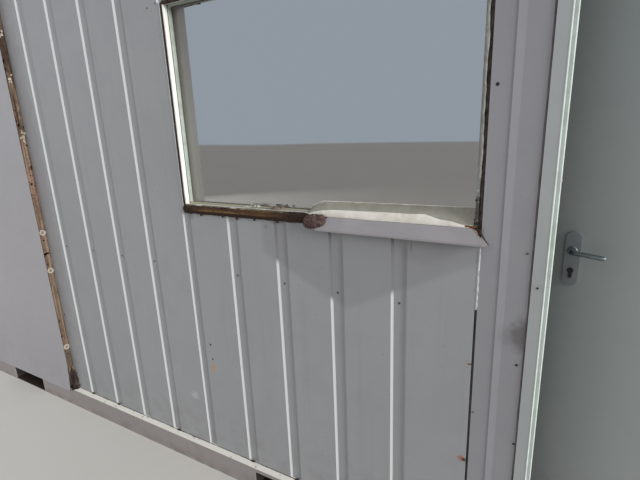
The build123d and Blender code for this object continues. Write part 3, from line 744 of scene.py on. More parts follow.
finishOfSlot = {
    "wall_paint": "wallPaint",
    "cover_paint": "coverPaint",
    "frame_paint": "framePaint",
    "leaf_paint": "leafPaint",
    "window_frame": "windowPlastic",
    "window_glass": "windowGlass",
    "flashing": "flashingPaint",
    "rusted_steel": "sillRust",
    "floor_covering": "floorVinyl",
    "inner_board": "innerBoard",
    "roof_sheet": "roofSheet",
    "hinge_steel": "zincPlate",
    "lock_plastic": "lockPlastic",
    "cylinder_metal": "blackCylinder",
    "lever_metal": "leverAluminium",
}
finishOfNode = {
    "door_frame": "doorFramePaint",
    "door_threshold": "doorFramePaint",
    "door_panel_left": "doorPanelShadedPaint",
    "fork_tunnels": "tunnelDirtAndShade",
}
slotOfNode = {part["node"]: part["material_slot"] for part in frame["record"]["subparts"]}
for nodeName, node in frame["nodes"].items():
    chosen = finishOfNode.get(nodeName, finishOfSlot[slotOfNode[nodeName]])
    node.data.materials.clear()
    node.data.materials.append(finishes[chosen])
print("stage: finishes")


def circle(radius, sides, level=0.0):
    angles = [2 * math.pi * step / sides for step in range(sides)]
    return [Vector((radius * math.cos(angle), radius * math.sin(angle), level)) for angle in angles]


def turnTo(axis):
    # The turn that brings +Z onto an axis
    return Vector((0, 0, 1)).rotation_difference(Vector(axis)).to_matrix()


# A crust's settings where a piece gives none of its own: how many steps it has along and across, how
# thick and rough it is, how far its long edges wander, the scale of both noises, how deep it is sunk
# into the face, and the share of its length over which each end fades
crustLook = {
    "steps": 60, "across": 5, "thick": 0.0010, "relief": 0.0016, "ragged": 0.10, "wave": 30, "grain": 60,
    "sunk": 0.0005, "taper": 0.0,
}


class Shape:
    # Gathers the faces of one piece, in metres, where they stand on the cabin
    def __init__(self, side="front"):
        self.mesh = bmesh.new()
        quarters = {"front": 0, "right": 1, "back": 2, "left": 3}[side]
        self.turn = Matrix.Rotation(quarters * math.pi / 2, 3, "Z")

    def loft(self, rings, ends=True):
        made = [[self.mesh.verts.new(self.turn @ Vector(point)) for point in ring] for ring in rings]
        count = len(made[0])
        for near, far in zip(made, made[1:]):
            for step in range(count):
                after = (step + 1) % count
                self.mesh.faces.new((near[step], near[after], far[after], far[step]))
        if ends:
            self.mesh.faces.new(made[0][::-1])
            self.mesh.faces.new(made[-1])

    def slab(self, outline, depth):
        near = [Vector(point) for point in outline]
        self.loft([near, [point + Vector(depth) for point in near]])

    def turned(self, profile, place, axis, sides=16, ends=True):
        # Spun round an axis from (radius, distance along the axis) pairs
        turn = turnTo(axis)
        rings = []
        for radius, distance in profile:
            rings.append([Vector(place) + turn @ point for point in circle(radius, sides, distance)])
        self.loft(rings, ends)

    def bead(self, route, radius, sides=6, uneven=0.0):
        # A round bead along a route, which can swell and shrink a little
        rings = []
        for step, point in enumerate(route):
            before, after = route[max(step - 1, 0)], route[min(step + 1, len(route) - 1)]
            turn = turnTo((Vector(after) - Vector(before)).normalized())
            size = radius * (1 + uneven * noise.noise(Vector(point) * 90))
            rings.append([Vector(point) + turn @ corner for corner in circle(size, sides)])
        self.loft(rings)

    def loop(self, route, section):
        # A section carried round an opening: (distance towards its middle, depth behind the wall's face)
        rings = []
        for point, inward in route:
            ring = [point + inward * inset + Vector((0, deep - longFace, 0)) for inset, deep in section]
            rings.append(ring)
        self.loft(rings + rings[:1], ends=False)

    def crust(self, start, run, width, out, settings):
        # A ragged skin on a flat strip: it swells by noise and its long edges wander
        look = {**crustLook, **settings}
        start, run, width, out = Vector(start), Vector(run), Vector(width), Vector(out)
        under = out * look["sunk"]
        rings = []
        for step in range(look["steps"] + 1):
            along = step / look["steps"]
            middle = start + run * along
            seeds = [middle * look["wave"] + Vector((0, 0, edge * 7)) for edge in (1, 2)]
            lowWander, highWander = [noise.fractal(seed, 0.7, 2, 4) for seed in seeds]
            fade = min(1, along / look["taper"], (1 - along) / look["taper"]) if look["taper"] else 1
            low = 0.5 + (-0.5 - look["ragged"] * lowWander) * fade
            high = 0.5 + (0.5 + look["ragged"] * highWander) * fade
            ring = [middle + width * high - under, middle + width * low - under]
            for place in range(look["across"] + 1):
                share = place / look["across"]
                point = middle + width * (low + (high - low) * share)
                rough = noise.fractal(point * look["grain"], 0.6, 2, 5)
                swell = math.sin(math.pi * share) ** 0.5 if 0 < share < 1 else 0
                ring.append(point + out * max(0, (look["thick"] + look["relief"] * rough) * swell * fade))
            rings.append(ring)
        self.loft(rings)

    def uprightCrust(self, start, height, width, look):
        self.crust(start, (0, 0, height), (width, 0, 0), (0, -1, 0), look)

    def levelCrust(self, start, length, width, look):
        self.crust(start, (length, 0, 0), (0, 0, width), (0, -1, 0), look)

    def chip(self, place, out, size, look):
        # A curled flake with an uneven outline
        turn = turnTo(out)
        near, far = [], []
        start = random.random() * math.pi
        for step in range(8):
            angle = start + math.pi * step / 4
            reach = size * random.uniform(0.8, 1.05)
            across, up = reach * math.cos(angle), reach * math.sin(angle) * look["squash"]
            curl = look["curl"] * (across * across) / size
            near.append(Vector(place) + turn @ Vector((across, up, curl)))
            far.append(Vector(place) + turn @ Vector((across * 0.94, up * 0.94, curl - look["thick"])))
        self.loft([near, far])

    def lump(self, centre, radii, relief, fine=3, grain=2.3):
        # A rough round body of scale
        ball = bmesh.ops.create_icosphere(self.mesh, subdivisions=fine, radius=1)
        for corner in ball["verts"]:
            rough = noise.fractal((corner.co + Vector(centre) * 40) * grain, 0.6, 2.1, 5)
            grow = 1 + rough * relief / min(radii)
            stretched = Vector(part * radius * grow for part, radius in zip(corner.co, radii))
            corner.co = self.turn @ (Vector(centre) + stretched)

    def piece(self, name, finish, slot, body="root", sharpest=80):
        bmesh.ops.remove_doubles(self.mesh, verts=self.mesh.verts, dist=0.00001)
        bmesh.ops.recalc_face_normals(self.mesh, faces=self.mesh.faces)
        data = bpy.data.meshes.new(name)
        self.mesh.to_mesh(data)
        self.mesh.free()
        data.materials.append(finishes[finish])
        data.shade_smooth()
        data.set_sharp_from_angle(angle=math.radians(sharpest))
        made = bpy.data.objects.new(name, data)
        bpy.context.scene.collection.objects.link(made)
        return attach(made, body)


random.seed(7)

panelLook = {
    "width": 1.15,
    "longPlaces": (-2, -1, 0, 1, 2),
    "shortPlaces": (-0.5, 0.5),
    "groovePitch": 0.223,
    "grooves": (-1.5, -0.5, 0.5, 1.5),
    "grooveDepth": 0.006,
}


def wallOf(side):
    # How far a wall's face stands from the cabin's middle, and where its grooves run
    short = side in ("left", "right")
    panels = panelLook["shortPlaces"] if short else panelLook["longPlaces"]
    width, pitch = panelLook["width"], panelLook["groovePitch"]
    centres = [panel * width + groove * pitch for panel in panels for groove in panelLook["grooves"]]
    return shortFace if short else longFace, centres


# One screw in each groove, at one level all round
screwLook = {"level": 0.992, "radius": 0.0034, "height": 0.0022, "washer": 0.0044}


def screwProfile(look):
    wide, radius, high = look["washer"], look["radius"], look["height"]
    return [
        (0, -0.001), (wide, -0.001), (wide, 0.0006), (radius, 0.0009), (radius, high * 0.55),
        (radius * 0.82, high * 0.9), (radius * 0.45, high), (radius * 0.3, high * 0.45), (0, high * 0.4),
    ]


def addGrooveScrews(look):
    profile = screwProfile(look)
    for side in ("front", "back", "left", "right"):
        screws = Shape(side)
        face, centres = wallOf(side)
        for centre in centres:
            covered = coverLow.x < centre < coverHigh.x or centre > doorLow.x
            if side != "front" or not covered:
                place = (centre, panelLook["grooveDepth"] - face, look["level"])
                screws.turned(profile, place, (0, -1, 0))
        screws.piece(side + "GrooveScrews", "dullScrew", "hinge_steel", sharpest=35)


addGrooveScrews(screwLook)

# Old screw holes and stray screws in the front, at (x, z): open holes with their radius, then screws
holeLook = {
    "rim": 0.0012,
    "holes": [
        (1.7424, 1.6441, 0.0036), (1.8433, 0.8634, 0.0028), (1.8537, 0.5958, 0.0026),
        (0.628, 0.646, 0.0032), (0.632, 0.577, 0.0032), (-0.478, 0.577, 0.0036),
    ],
    "screws": [(1.8459, 1.2027), (1.7310, 0.6687), (0.501, 2.001), (0.546, 2.011)],
    "screw": {"radius": 0.0026, "height": 0.00144, "washer": 0.00312},
    "frameScrew": (1.878, 1.109),
    "scratch": [(1.7090, 0.8325), (1.7145, 0.8335), (1.7200, 0.8355)],
    "scratchRadius": 0.0018,
    "sides": 14,
}


def addHoles(look):
    holes, screws = Shape(), Shape()
    for x, z, radius in look["holes"]:
        rolled = [
            (0, -0.001), (radius * 1.35, -0.001), (radius * 1.3, 0.0003), (radius, look["rim"] * 0.6),
            (radius * 0.8, 0.0002), (0, 0.0001),
        ]
        holes.turned(rolled, (x, -longFace, z), (0, -1, 0), look["sides"])
    holes.bead([(x, -longFace, z) for x, z in look["scratch"]], look["scratchRadius"])
    profile = screwProfile(look["screw"])
    for x, z in look["screws"]:
        screws.turned(profile, (x, -longFace, z), (0, -1, 0), look["sides"])
    x, z = look["frameScrew"]
    holes.turned(profile, (x, doorLow.y, z), (0, -1, 0), look["sides"])
    holes.piece("oldScrewHoles", "screwHole", "wall_paint", sharpest=35)
    screws.piece("strayScrews", "dullScrew", "hinge_steel", sharpest=35)


addHoles(holeLook)
print("stage: screws")

# Glazing seal round each pane, with a dark crease along both its edges, dark rubber and painted shade
gasketLook = {
    "corner": 0.011,
    "steps": 6,
    "lip": 0.008,
    "creases": [
        [(-0.004, 0.0148), (0.0004, 0.0148), (0.0010, 0.0158), (0.0006, 0.0180), (-0.004, 0.0180)],
        [(-0.004, 0.0318), (0.0044, 0.0318), (0.0052, 0.0332), (0.0052, 0.0360), (-0.004, 0.0360)],
    ],
    "seal": [
        (-0.004, 0.0172), (0.0012, 0.0172), (0.0026, 0.0184), (0.0036, 0.0210), (0.0040, 0.0250),
        (0.0048, 0.0285), (0.0042, 0.0322), (-0.004, 0.0322),
    ],
}


def roundedRoute(left, right, foot, head, radius, steps):
    # Points round an opening with rounded corners, each with its direction towards the middle
    route = []
    middles = [
        (right - radius, head - radius), (left + radius, head - radius),
        (left + radius, foot + radius), (right - radius, foot + radius),
    ]
    for quarter, (x, z) in enumerate(middles):
        for step in range(steps + 1):
            angle = math.pi / 2 * (quarter + step / steps)
            out = Vector((math.cos(angle), 0, math.sin(angle)))
            route.append((Vector((x, 0, z)) + out * radius, -out))
    return route


def addGaskets(look):
    lip = look["lip"]
    opening = (frameLow.x + lip, frameHigh.x - lip, frameLow.z + lip, frameHigh.z - lip)
    route = roundedRoute(*opening, look["corner"], look["steps"])
    for side in ("front", "back"):
        seal, crease = Shape(side), Shape(side)
        seal.loop(route, look["seal"])
        for section in look["creases"]:
            crease.loop(route, section)
        seal.piece(side + "GlazingSeal", "sealGrey", "window_frame", sharpest=35)
        crease.piece(side + "SealCrease", "darkSealAndShade", "window_frame", sharpest=35)


addGaskets(gasketLook)


def finePoints(points, step):
    # Points about a step apart along a line of (x, z) points, all but its last one
    fine = []
    for (x, z), (nextX, nextZ) in zip(points, points[1:]):
        count = max(1, round((nextX - x) / step))
        for part in range(count):
            share = part / count
            fine.append((x + (nextX - x) * share, z + (nextZ - z) * share))
    return fine


# A pale thread on the glass at the foot of the front pane, as a painted reflection
threadLook = {
    "points": [(1.160, 1.290), (1.206, 1.3075), (1.700, 1.3145)],
    "deep": 0.0352,
    "radius": 0.0011,
    "step": 0.012,
    "sway": 0.0006,
}


def addReflectedLine(look):
    thread = Shape()
    route = []
    for x, z in finePoints(look["points"], look["step"]):
        sway = look["sway"] * noise.noise(Vector((x, 0, 0)) * 30)
        route.append((x, look["deep"] - longFace, z + sway))
    x, z = look["points"][-1]
    route.append((x, look["deep"] - longFace, z))
    thread.bead(route, look["radius"], uneven=0.5)
    thread.piece("reflectedLine", "tornWhite", "window_frame")


addReflectedLine(threadLook)

# Joints beside each window: a closing strip on the left, with dirt and painted shade in the gap beside the
# frame, and an open seam on the right
jointLook = {
    "foot": 1.236,
    "head": 2.010,
    "strip": (0.5500, 0.5650),
    "stripDeep": 0.0062,
    "fillerDeep": 0.0055,
    "left": {
        "steps": 240, "across": 6, "thick": 0.0032, "relief": 0.003, "ragged": 0.05, "wave": 18, "grain": 70,
        "sunk": 0.004,
    },
    "lipDirtAndShade": {
        "steps": 300, "thick": 0.0005, "relief": 0.0008, "ragged": 0.20, "wave": 16, "grain": 80,
        "sunk": 0.002,
    },
    "lipDirtAndShadeFrom": -0.001,
    "lipDirtAndShadeWidth": 0.0036,
    "right": {
        "steps": 240, "thick": 0.002, "relief": 0.004, "ragged": 0.0, "wave": 18, "grain": 80, "sunk": 0.004,
    },
    "rightDeep": 0.0075,
    "rightWidth": 0.0115,
}


def addWindowJoints(look):
    foot, height = look["foot"], look["head"] - look["foot"]
    low, high = look["strip"]
    outline = [
        (low, look["stripDeep"]), (low + 0.0008, 0.0004), (low + 0.0022, -0.0002),
        (high - 0.0012, -0.0002), (high, 0.0008), (high, look["stripDeep"]),
    ]
    for side in ("front", "back"):
        strip, left, right = Shape(side), Shape(side), Shape(side)
        strip.slab([(x, deep - longFace, foot) for x, deep in outline], (0, 0, height))
        inGap = (high, look["fillerDeep"] - longFace, foot)
        left.uprightCrust(inGap, height, frameLow.x - high, look["left"])
        onLip = (frameLow.x + look["lipDirtAndShadeFrom"], frameLow.y, foot)
        left.uprightCrust(onLip, height, look["lipDirtAndShadeWidth"], look["lipDirtAndShade"])
        inSeam = (frameHigh.x, look["rightDeep"] - longFace, foot)
        right.uprightCrust(inSeam, height, look["rightWidth"], look["right"])
        strip.piece(side + "ClosingStrip", "wallPaint", "wall_paint", sharpest=35)
        left.piece(side + "LeftJointDirtAndShade", "gapDirt", "window_frame")
        right.piece(side + "RightJointDirt", "seamDirt", "window_frame")


# Black mould over the top left corner of the front frame
mouldLook = {
    "place": (0.5745, 2.0000),
    "size": (0.130, 0.0140),
    "crust": {"across": 10, "thick": 0.0008, "relief": 0.0010, "grain": 70, "sunk": 0.003, "taper": 0.06},
}


def addMould(look):
    mould = Shape()
    x, z = look["place"]
    mould.levelCrust((x, frameLow.y, z), *look["size"], look["crust"])
    mould.piece("cornerMould", "blackScale", "window_frame")


# The seam right of the front window: torn sealant beside the frame, and below it a stretch that is
# filled and painted over under a white edge, then one that is packed black down to the ledge
seamLook = {
    "sealantFrom": 1.395,
    "sealantTo": 2.010,
    "sealantInset": 0.0060,
    "sealantWidth": 0.0080,
    "sealant": {
        "steps": 300, "across": 6, "thick": 0.0016, "ragged": 0.30, "wave": 12, "grain": 90, "taper": 0.02,
    },
    "filler": {"steps": 260, "across": 4, "relief": 0.0008, "ragged": 0.12, "wave": 14, "sunk": 0.006},
    "packed": (1.7186, 1.7250),
    "packedDeep": 0.004,
    "packedFrom": 0.109,
    "packedTo": 1.025,
    "painted": (1.7162, 1.7238),
    "paintedDeep": 0.0004,
    "white": (1.7218, 1.7268),
    "whiteDeep": 0.0006,
    "whiteFrom": 1.015,
    "whiteTo": 1.2112,
    "whiteTaper": 0.06,
}


def addSeam(look):
    sealant, packed, painted, white = Shape(), Shape(), Shape(), Shape()
    start = (frameHigh.x - look["sealantInset"], frameLow.y, look["sealantFrom"])
    height = look["sealantTo"] - look["sealantFrom"]
    sealant.uprightCrust(start, height, look["sealantWidth"], look["sealant"])
    sealant.piece("tornSealant", "paleSealant", "window_frame")
    low, high = look["packed"]
    start = (low, look["packedDeep"] - longFace, look["packedFrom"])
    packed.uprightCrust(start, look["packedTo"] - look["packedFrom"], high - low, look["filler"])
    packed.piece("packedSeam", "seamFiller", "wall_paint")
    height = look["whiteTo"] - look["whiteFrom"]
    low, high = look["painted"]
    start = (low, look["paintedDeep"] - longFace, look["whiteFrom"])
    painted.uprightCrust(start, height, high - low, look["filler"])
    painted.piece("paintedSeam", "doorPanelShadedPaint", "wall_paint")
    low, high = look["white"]
    start = (low, look["whiteDeep"] - longFace, look["whiteFrom"])
    white.uprightCrust(start, height, high - low, {**look["filler"], "taper": look["whiteTaper"]})
    white.piece("whiteSeamEdge", "seamEdge", "wall_paint")


# Dirt and painted shade: a dark reddish line where the panel meets the door frame
frameJointDirtAndShadeLook = {
    "foot": 0.109,
    "width": 0.0052,
    "crust": {"steps": 420, "across": 4, "thick": 0.0008, "relief": 0.0006, "ragged": 0.16, "wave": 12},
}


def addFrameJointDirtAndShade(look):
    dirt = Shape()
    start = (doorLow.x - look["width"], -longFace, look["foot"])
    dirt.uprightCrust(start, doorHigh.z - look["foot"], look["width"], look["crust"])
    dirt.piece("doorFrameDirtAndShade", "frameJointDirtAndShade", "wall_paint")


addWindowJoints(jointLook)
addMould(mouldLook)
addSeam(seamLook)
addFrameJointDirtAndShade(frameJointDirtAndShadeLook)
print("stage: windows")

# What is left of the sill lining behind the flashing: thin, torn along its upper edge
liningLook = {
    "topEdge": [
        (1.158, 1.2665), (1.176, 1.274), (1.205, 1.281), (1.244, 1.286), (1.300, 1.2875), (1.372, 1.289),
        (1.435, 1.291), (1.500, 1.2905), (1.564, 1.293), (1.603, 1.281), (1.640, 1.277), (1.678, 1.268),
        (1.704, 1.2635),
    ],
    "foot": 1.2605,
    "stands": 0.0032,
    "thickness": 0.0014,
    "step": 0.008,
    "bulge": 0.0022,
    "tatter": 0.0007,
}


def addTornLining(look):
    lining = Shape()
    sections = []
    for x, smoothTop in finePoints(look["topEdge"], look["step"]):
        top = smoothTop + look["tatter"] * noise.noise(Vector((x * 160, 0, 0)))
        face = -longFace - look["stands"] - look["bulge"] * noise.noise(Vector((x * 9, 3, 0)))
        middle = (top + look["foot"]) / 2
        front = [(face, look["foot"]), (face - 0.0012, middle), (face + 0.0006, top)]
        back = [(y + look["thickness"], z) for y, z in reversed(front)]
        sections.append([(x, y, z) for y, z in front + back])
    lining.loft(sections)
    lining.piece("tornSillLining", "tornWhite", "window_frame", sharpest=50)


addTornLining(liningLook)

# Behind the torn lining a grey bead slopes back to the glass, up to the pale thread on it
beadLook = {
    "front": [
        (1.150, 1.2650), (1.176, 1.2725), (1.205, 1.2790), (1.300, 1.2860), (1.564, 1.2910),
        (1.603, 1.2795), (1.640, 1.2755), (1.678, 1.2670), (1.702, 1.2640),
    ],
    "back": [(1.150, 1.2700), (1.160, 1.2890), (1.206, 1.3065), (1.702, 1.3135)],
    "frontDeep": -0.0020,
    "backDeep": 0.0356,
    "thickness": 0.0012,
    "step": 0.01,
    "uneven": 0.0006,
}


def levelAt(points, place):
    for (x, z), (nextX, nextZ) in zip(points, points[1:]):
        if place <= nextX:
            return z + (nextZ - z) * (place - x) / (nextX - x)
    return points[-1][1]


def addGlazingBead(look):
    bead = Shape()
    start, end = look["front"][0][0], look["front"][-1][0]
    count = round((end - start) / look["step"])
    near, far = look["frontDeep"] - longFace, look["backDeep"] - longFace
    sections = []
    for step in range(count + 1):
        x = start + (end - start) * step / count
        low, high = levelAt(look["front"], x), levelAt(look["back"], x)
        middle = (low * 0.45 + high * 0.55) + look["uneven"] * noise.noise(Vector((x * 40, 0, 0)))
        top = [(x, near, low), (x, (near + far) / 2, middle), (x, far, high)]
        sections.append(top + [(x, y, z - look["thickness"]) for x, y, z in reversed(top)])
    bead.loft(sections)
    bead.piece("glazingBead", "beadGrey", "window_frame", sharpest=60)


addGlazingBead(beadLook)

# The bare sub-sill: a skin of scale with drips under it, a lump at the break, and mould on the frame's
# lower lip left of the break
scaleLook = {
    "skin": {
        "steps": 460, "across": 10, "thick": 0.0018, "relief": 0.0020, "ragged": 0.08, "wave": 26,
        "grain": 45, "taper": 0.015,
    },
    "from": 0.566,
    "to": 1.176,
    "low": 1.2325,
    "high": 1.2655,
    "drips": [(0.6657, 1.2300), (0.7780, 1.2320), (0.8460, 1.2285), (0.9300, 1.2310), (1.0350, 1.2300)],
    "dripSize": (0.0042, 0.004, 0.0052),
    "dripRelief": 0.0016,
    "lump": [
        ((1.190, -1.1950, 1.2460), (0.042, 0.021, 0.024)),
        ((1.168, -1.1940, 1.2330), (0.022, 0.016, 0.014)),
        ((1.212, -1.1950, 1.2580), (0.019, 0.015, 0.012)),
    ],
    "lumpRelief": 0.0020,
    "lumpGrain": 4.0,
    "patch": {
        "steps": 120, "across": 8, "thick": 0.0014, "relief": 0.002, "grain": 70, "sunk": 0.001,
        "taper": 0.25,
    },
    "patchPlace": (1.050, 1.2580),
    "patchSize": (0.125, 0.0130),
}


def addSillScale(look):
    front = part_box("front_sub_sill")[0].y
    skin, lump, patch = Shape(), Shape(), Shape()
    start = (look["from"], front, look["low"])
    skin.levelCrust(start, look["to"] - look["from"], look["high"] - look["low"], look["skin"])
    for x, z in look["drips"]:
        skin.lump((x, front - 0.001, z), look["dripSize"], look["dripRelief"])
    skin.piece("sillScale", "sillRust", "rusted_steel")
    for centre, radii in look["lump"]:
        lump.lump(centre, radii, look["lumpRelief"], 5, look["lumpGrain"])
    lump.piece("rustLump", "lumpRust", "rusted_steel")
    x, z = look["patchPlace"]
    patch.levelCrust((x, frameLow.y, z), *look["patchSize"], look["patch"])
    patch.piece("blackPatch", "blackScale", "rusted_steel")


addSillScale(scaleLook)

# Flakes of paint that lie on the bottom seal above the rust: greenish white, then pinkish
flakeLook = {
    "beds": {
        "paleFlakes": {"finish": "paleFlake", "from": 0.885, "to": 0.950},
        "pinkFlakes": {"finish": "pinkFlake", "from": 0.990, "to": 1.062},
    },
    "count": 26,
    "size": (0.0035, 0.0075),
    "level": (1.2725, 1.2800),
    "deep": (-0.003, 0.026),
    "shape": {"curl": 0.3, "squash": 0.7, "thick": 0.0006},
}


def addSillFlakes(look):
    for name, bed in look["beds"].items():
        flakes = Shape()
        for _ in range(look["count"]):
            deep, level = random.uniform(*look["deep"]), random.uniform(*look["level"])
            place = (random.uniform(bed["from"], bed["to"]), deep - longFace, level)
            out = (random.uniform(-0.3, 0.3), random.uniform(-0.5, -0.1), 1)
            flakes.chip(place, out, random.uniform(*look["size"]), look["shape"])
        flakes.piece(name, bed["finish"], "window_frame", sharpest=50)


addSillFlakes(flakeLook)

# The right end of the sill: orange rust on the lining's end, brown scale down the flashing's hip, and
# black crumbs that run on along the hip's edge
rottenLook = {
    "rust": {
        "across": 6, "thick": 0.0012, "relief": 0.003, "ragged": 0.35, "wave": 40, "grain": 90,
        "sunk": 0.002, "taper": 0.2,
    },
    "rustPlace": (1.676, 1.2615),
    "rustRun": (0.036, 0, -0.001),
    "rustWidth": (0, 0, 0.007),
    "scale": {"steps": 40, "ragged": 0.30, "wave": 60, "grain": 120, "taper": 0.15},
    "scalePlace": (1.6985, 1.2585),
    "scaleRun": (0.0165, 0, -0.0145),
    "scaleWidth": (0.0035, 0, 0.0050),
    "crumbs": [
        (1.7068, -1.1840, 1.3420, 0.0018), (1.7082, -1.1840, 1.3060, 0.0020),
        (1.7120, -1.1855, 1.2640, 0.0028), (1.7175, -1.1865, 1.2550, 0.0036),
        (1.7160, -1.1850, 1.2720, 0.0028), (1.7215, -1.1850, 1.2500, 0.0026),
        (1.7100, -1.1850, 1.2780, 0.0026), (1.7062, -1.1845, 1.2880, 0.0020),
    ],
    "crumbRelief": 0.002,
    "edge": [(1.7150, 1.2600), (1.7235, 1.2500), (1.7300, 1.2395), (1.7370, 1.2275), (1.7455, 1.2165)],
    "edgeRadius": 0.0011,
    "edgeStands": 0.0008,
}


def addRottenEnd(look):
    rust, scale, crumbs = Shape(), Shape(), Shape()
    x, z = look["rustPlace"]
    start = (x, frameLow.y - 0.001, z)
    rust.crust(start, look["rustRun"], look["rustWidth"], (0, -1, 0), look["rust"])
    rust.piece("orangeRust", "orangeRust", "rusted_steel")
    x, z = look["scalePlace"]
    start = (x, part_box("front_sub_sill")[0].y, z)
    scale.crust(start, look["scaleRun"], look["scaleWidth"], (0, -1, 0), look["scale"])
    scale.piece("hipScale", "pinkFlake", "rusted_steel")
    for x, y, z, size in look["crumbs"]:
        crumbs.lump((x, y, z), (size, size * 0.8, size * 1.1), look["crumbRelief"])
    edge = [(x, -longFace - look["edgeStands"], z) for x, z in look["edge"]]
    crumbs.bead(edge, look["edgeRadius"], uneven=0.6)
    crumbs.piece("blackCrumbs", "blackScale", "rusted_steel")


addRottenEnd(rottenLook)
print("stage: sill")

# Round screw caps with a rusty hole on the cover's right return; four have broken to pieces that
# still cling to it
capLook = {
    "levels": (1.056, 0.842, 0.380),
    "radius": 0.0165,
    "hole": 0.0075,
    "brokenLevels": (2.035, 1.832, 1.572, 1.545),
    "brokenPieces": 6,
    "brokenReach": (0.012, 0.018),
    "brokenStands": (0.002, 0.004),
    "brokenSize": (0.004, 0.008),
    "brokenShape": {"curl": 0.25, "squash": 0.8, "thick": 0.0007},
}


def addCaps(look):
    face, middle = coverHigh.x, (coverLow.y - longFace) / 2
    caps, holes, broken = Shape(), Shape(), Shape()
    radius, hole = look["radius"], look["hole"]
    profile = [
        (0, -0.001), (radius, -0.001), (radius, 0.0018), (radius * 0.92, 0.0038), (radius * 0.74, 0.0045),
        (radius * 0.58, 0.0040), (hole, 0.0026), (hole * 0.8, 0.0018), (0, 0.0016),
    ]
    for level in look["levels"]:
        caps.turned(profile, (face, middle, level), (1, 0, 0), 28)
        holes.lump((face + 0.0016, middle, level - 0.001), (0.0016, hole * 0.75, hole), 0.0008)
    wide, tall = look["brokenReach"]
    for level in look["brokenLevels"]:
        for _ in range(look["brokenPieces"]):
            out = (1, random.uniform(-0.4, 0.4), random.uniform(-0.4, 0.4))
            across, up = random.uniform(-wide, wide), random.uniform(-tall, tall)
            place = (face + random.uniform(*look["brokenStands"]), middle + across, level + up)
            broken.chip(place, out, random.uniform(*look["brokenSize"]), look["brokenShape"])
    caps.piece("screwCaps", "capPlastic", "window_frame", sharpest=35)
    holes.piece("capHoles", "capRust", "rusted_steel", sharpest=35)
    broken.piece("brokenCaps", "capPlastic", "window_frame", sharpest=50)


# Knots of rust on the return, about a third of the way down
knotLook = {"level": 1.310, "reach": 0.07, "count": 16, "size": (0.0018, 0.0036), "fromEdge": 0.002}


def addKnots(look):
    knots = Shape()
    low, high = coverLow.y + look["fromEdge"], -longFace - look["fromEdge"]
    for _ in range(look["count"]):
        size = random.uniform(*look["size"])
        level = look["level"] + random.uniform(-1, 1) * look["reach"]
        place = (coverHigh.x + 0.001, random.uniform(low, high), level)
        knots.lump(place, (size * 0.7, size, size), size * 0.4)
    knots.piece("rustKnots", "brownShard", "rusted_steel")


# The return's skin: bands of rust with relief
returnScaleLook = {
    "foot": 0.245,
    "belowHead": 0.01,
    "fromEdge": 0.001,
    "skin": {
        "steps": 900, "across": 14, "thick": 0.0012, "relief": 0.0022, "ragged": 0.03, "wave": 9, "grain": 40,
        "sunk": 0.0004, "taper": 0.002,
    },
}


def addReturnScale(look):
    skin = Shape()
    inset = look["fromEdge"]
    start = (coverHigh.x, coverLow.y + inset, look["foot"])
    height = coverHigh.z - look["belowHead"] - look["foot"]
    width = -longFace - coverLow.y - 2 * inset
    skin.crust(start, (0, 0, height), (0, width, 0), (1, 0, 0), look["skin"])
    skin.piece("returnScale", "returnRust", "rusted_steel")


# The return's foot has rusted out: a black cavity, with shards along the wall's side of it, lumps of rot
# at (out, y, z, size), and rust that has crept round the corner onto the cover's face
rotLook = {
    "shards": 22,
    "shardLevels": (0.125, 0.225),
    "shardAcross": (-0.014, -0.001),
    "shardStands": (-0.004, 0.008),
    "shardFlare": 0.030,
    "shardSize": (0.004, 0.011),
    "shardShape": {"curl": 0.4, "squash": 1.6, "thick": 0.0008},
    "cavity": {"across": 8, "relief": 0.004, "ragged": 0.15, "sunk": 0.006, "taper": 0.3},
    "cavityTop": 0.245,
    "cavityStands": 0.005,
    "lumps": [
        (0.006, -1.200, 0.110, 0.013), (0.016, -1.192, 0.109, 0.009), (-0.004, -1.2105, 0.104, 0.009),
        (0.004, -1.2095, 0.109, 0.009), (-0.012, -1.2080, 0.114, 0.011), (-0.024, -1.2040, 0.112, 0.011),
        (0.001, -1.2080, 0.123, 0.008),
    ],
    "corner": {"thick": 0.0006, "relief": 0.0010, "ragged": 0.35, "grain": 90, "sunk": 0.0004, "taper": 0.25},
    "cornerFrom": 0.132,
    "cornerTo": 0.262,
    "cornerWidth": 0.0052,
    "cornerPast": 0.0008,
}


def addRottenFoot(look):
    face, front = coverHigh.x, coverLow.y
    shards, cavity = Shape(), Shape()
    low, high = look["shardLevels"]
    for step in range(look["shards"]):
        level = low + (high - low) * step / look["shards"]
        across = random.uniform(*look["shardAcross"])
        flare = look["shardFlare"] * (1 - step / look["shards"])
        stands = random.uniform(*look["shardStands"]) + flare * random.random()
        out = (1, random.uniform(-1.6, -0.2), random.uniform(-0.3, 0.3))
        place = (face + stands, across - longFace, level)
        shards.chip(place, out, random.uniform(*look["shardSize"]), look["shardShape"])
    shards.piece("footShards", "brownShard", "rusted_steel", sharpest=50)
    start = (face + look["cavityStands"], front + 0.003, ledgeLevel)
    height, width = look["cavityTop"] - ledgeLevel, -longFace - front - 0.004
    cavity.crust(start, (0, 0, height), (0, width, 0), (1, 0, 0), look["cavity"])
    for out, y, z, size in look["lumps"]:
        cavity.lump((face + out, y, z), (size, size * 0.7, size * 0.6), 0.002, 4)
    start = (face - look["cornerWidth"], front, look["cornerFrom"])
    width = look["cornerWidth"] + look["cornerPast"]
    cavity.uprightCrust(start, look["cornerTo"] - look["cornerFrom"], width, look["corner"])
    cavity.piece("rottenFoot", "blackScale", "rusted_steel")


addCaps(capLook)
addKnots(knotLook)
addReturnScale(returnScaleLook)
addRottenFoot(rotLook)
print("stage: cover")

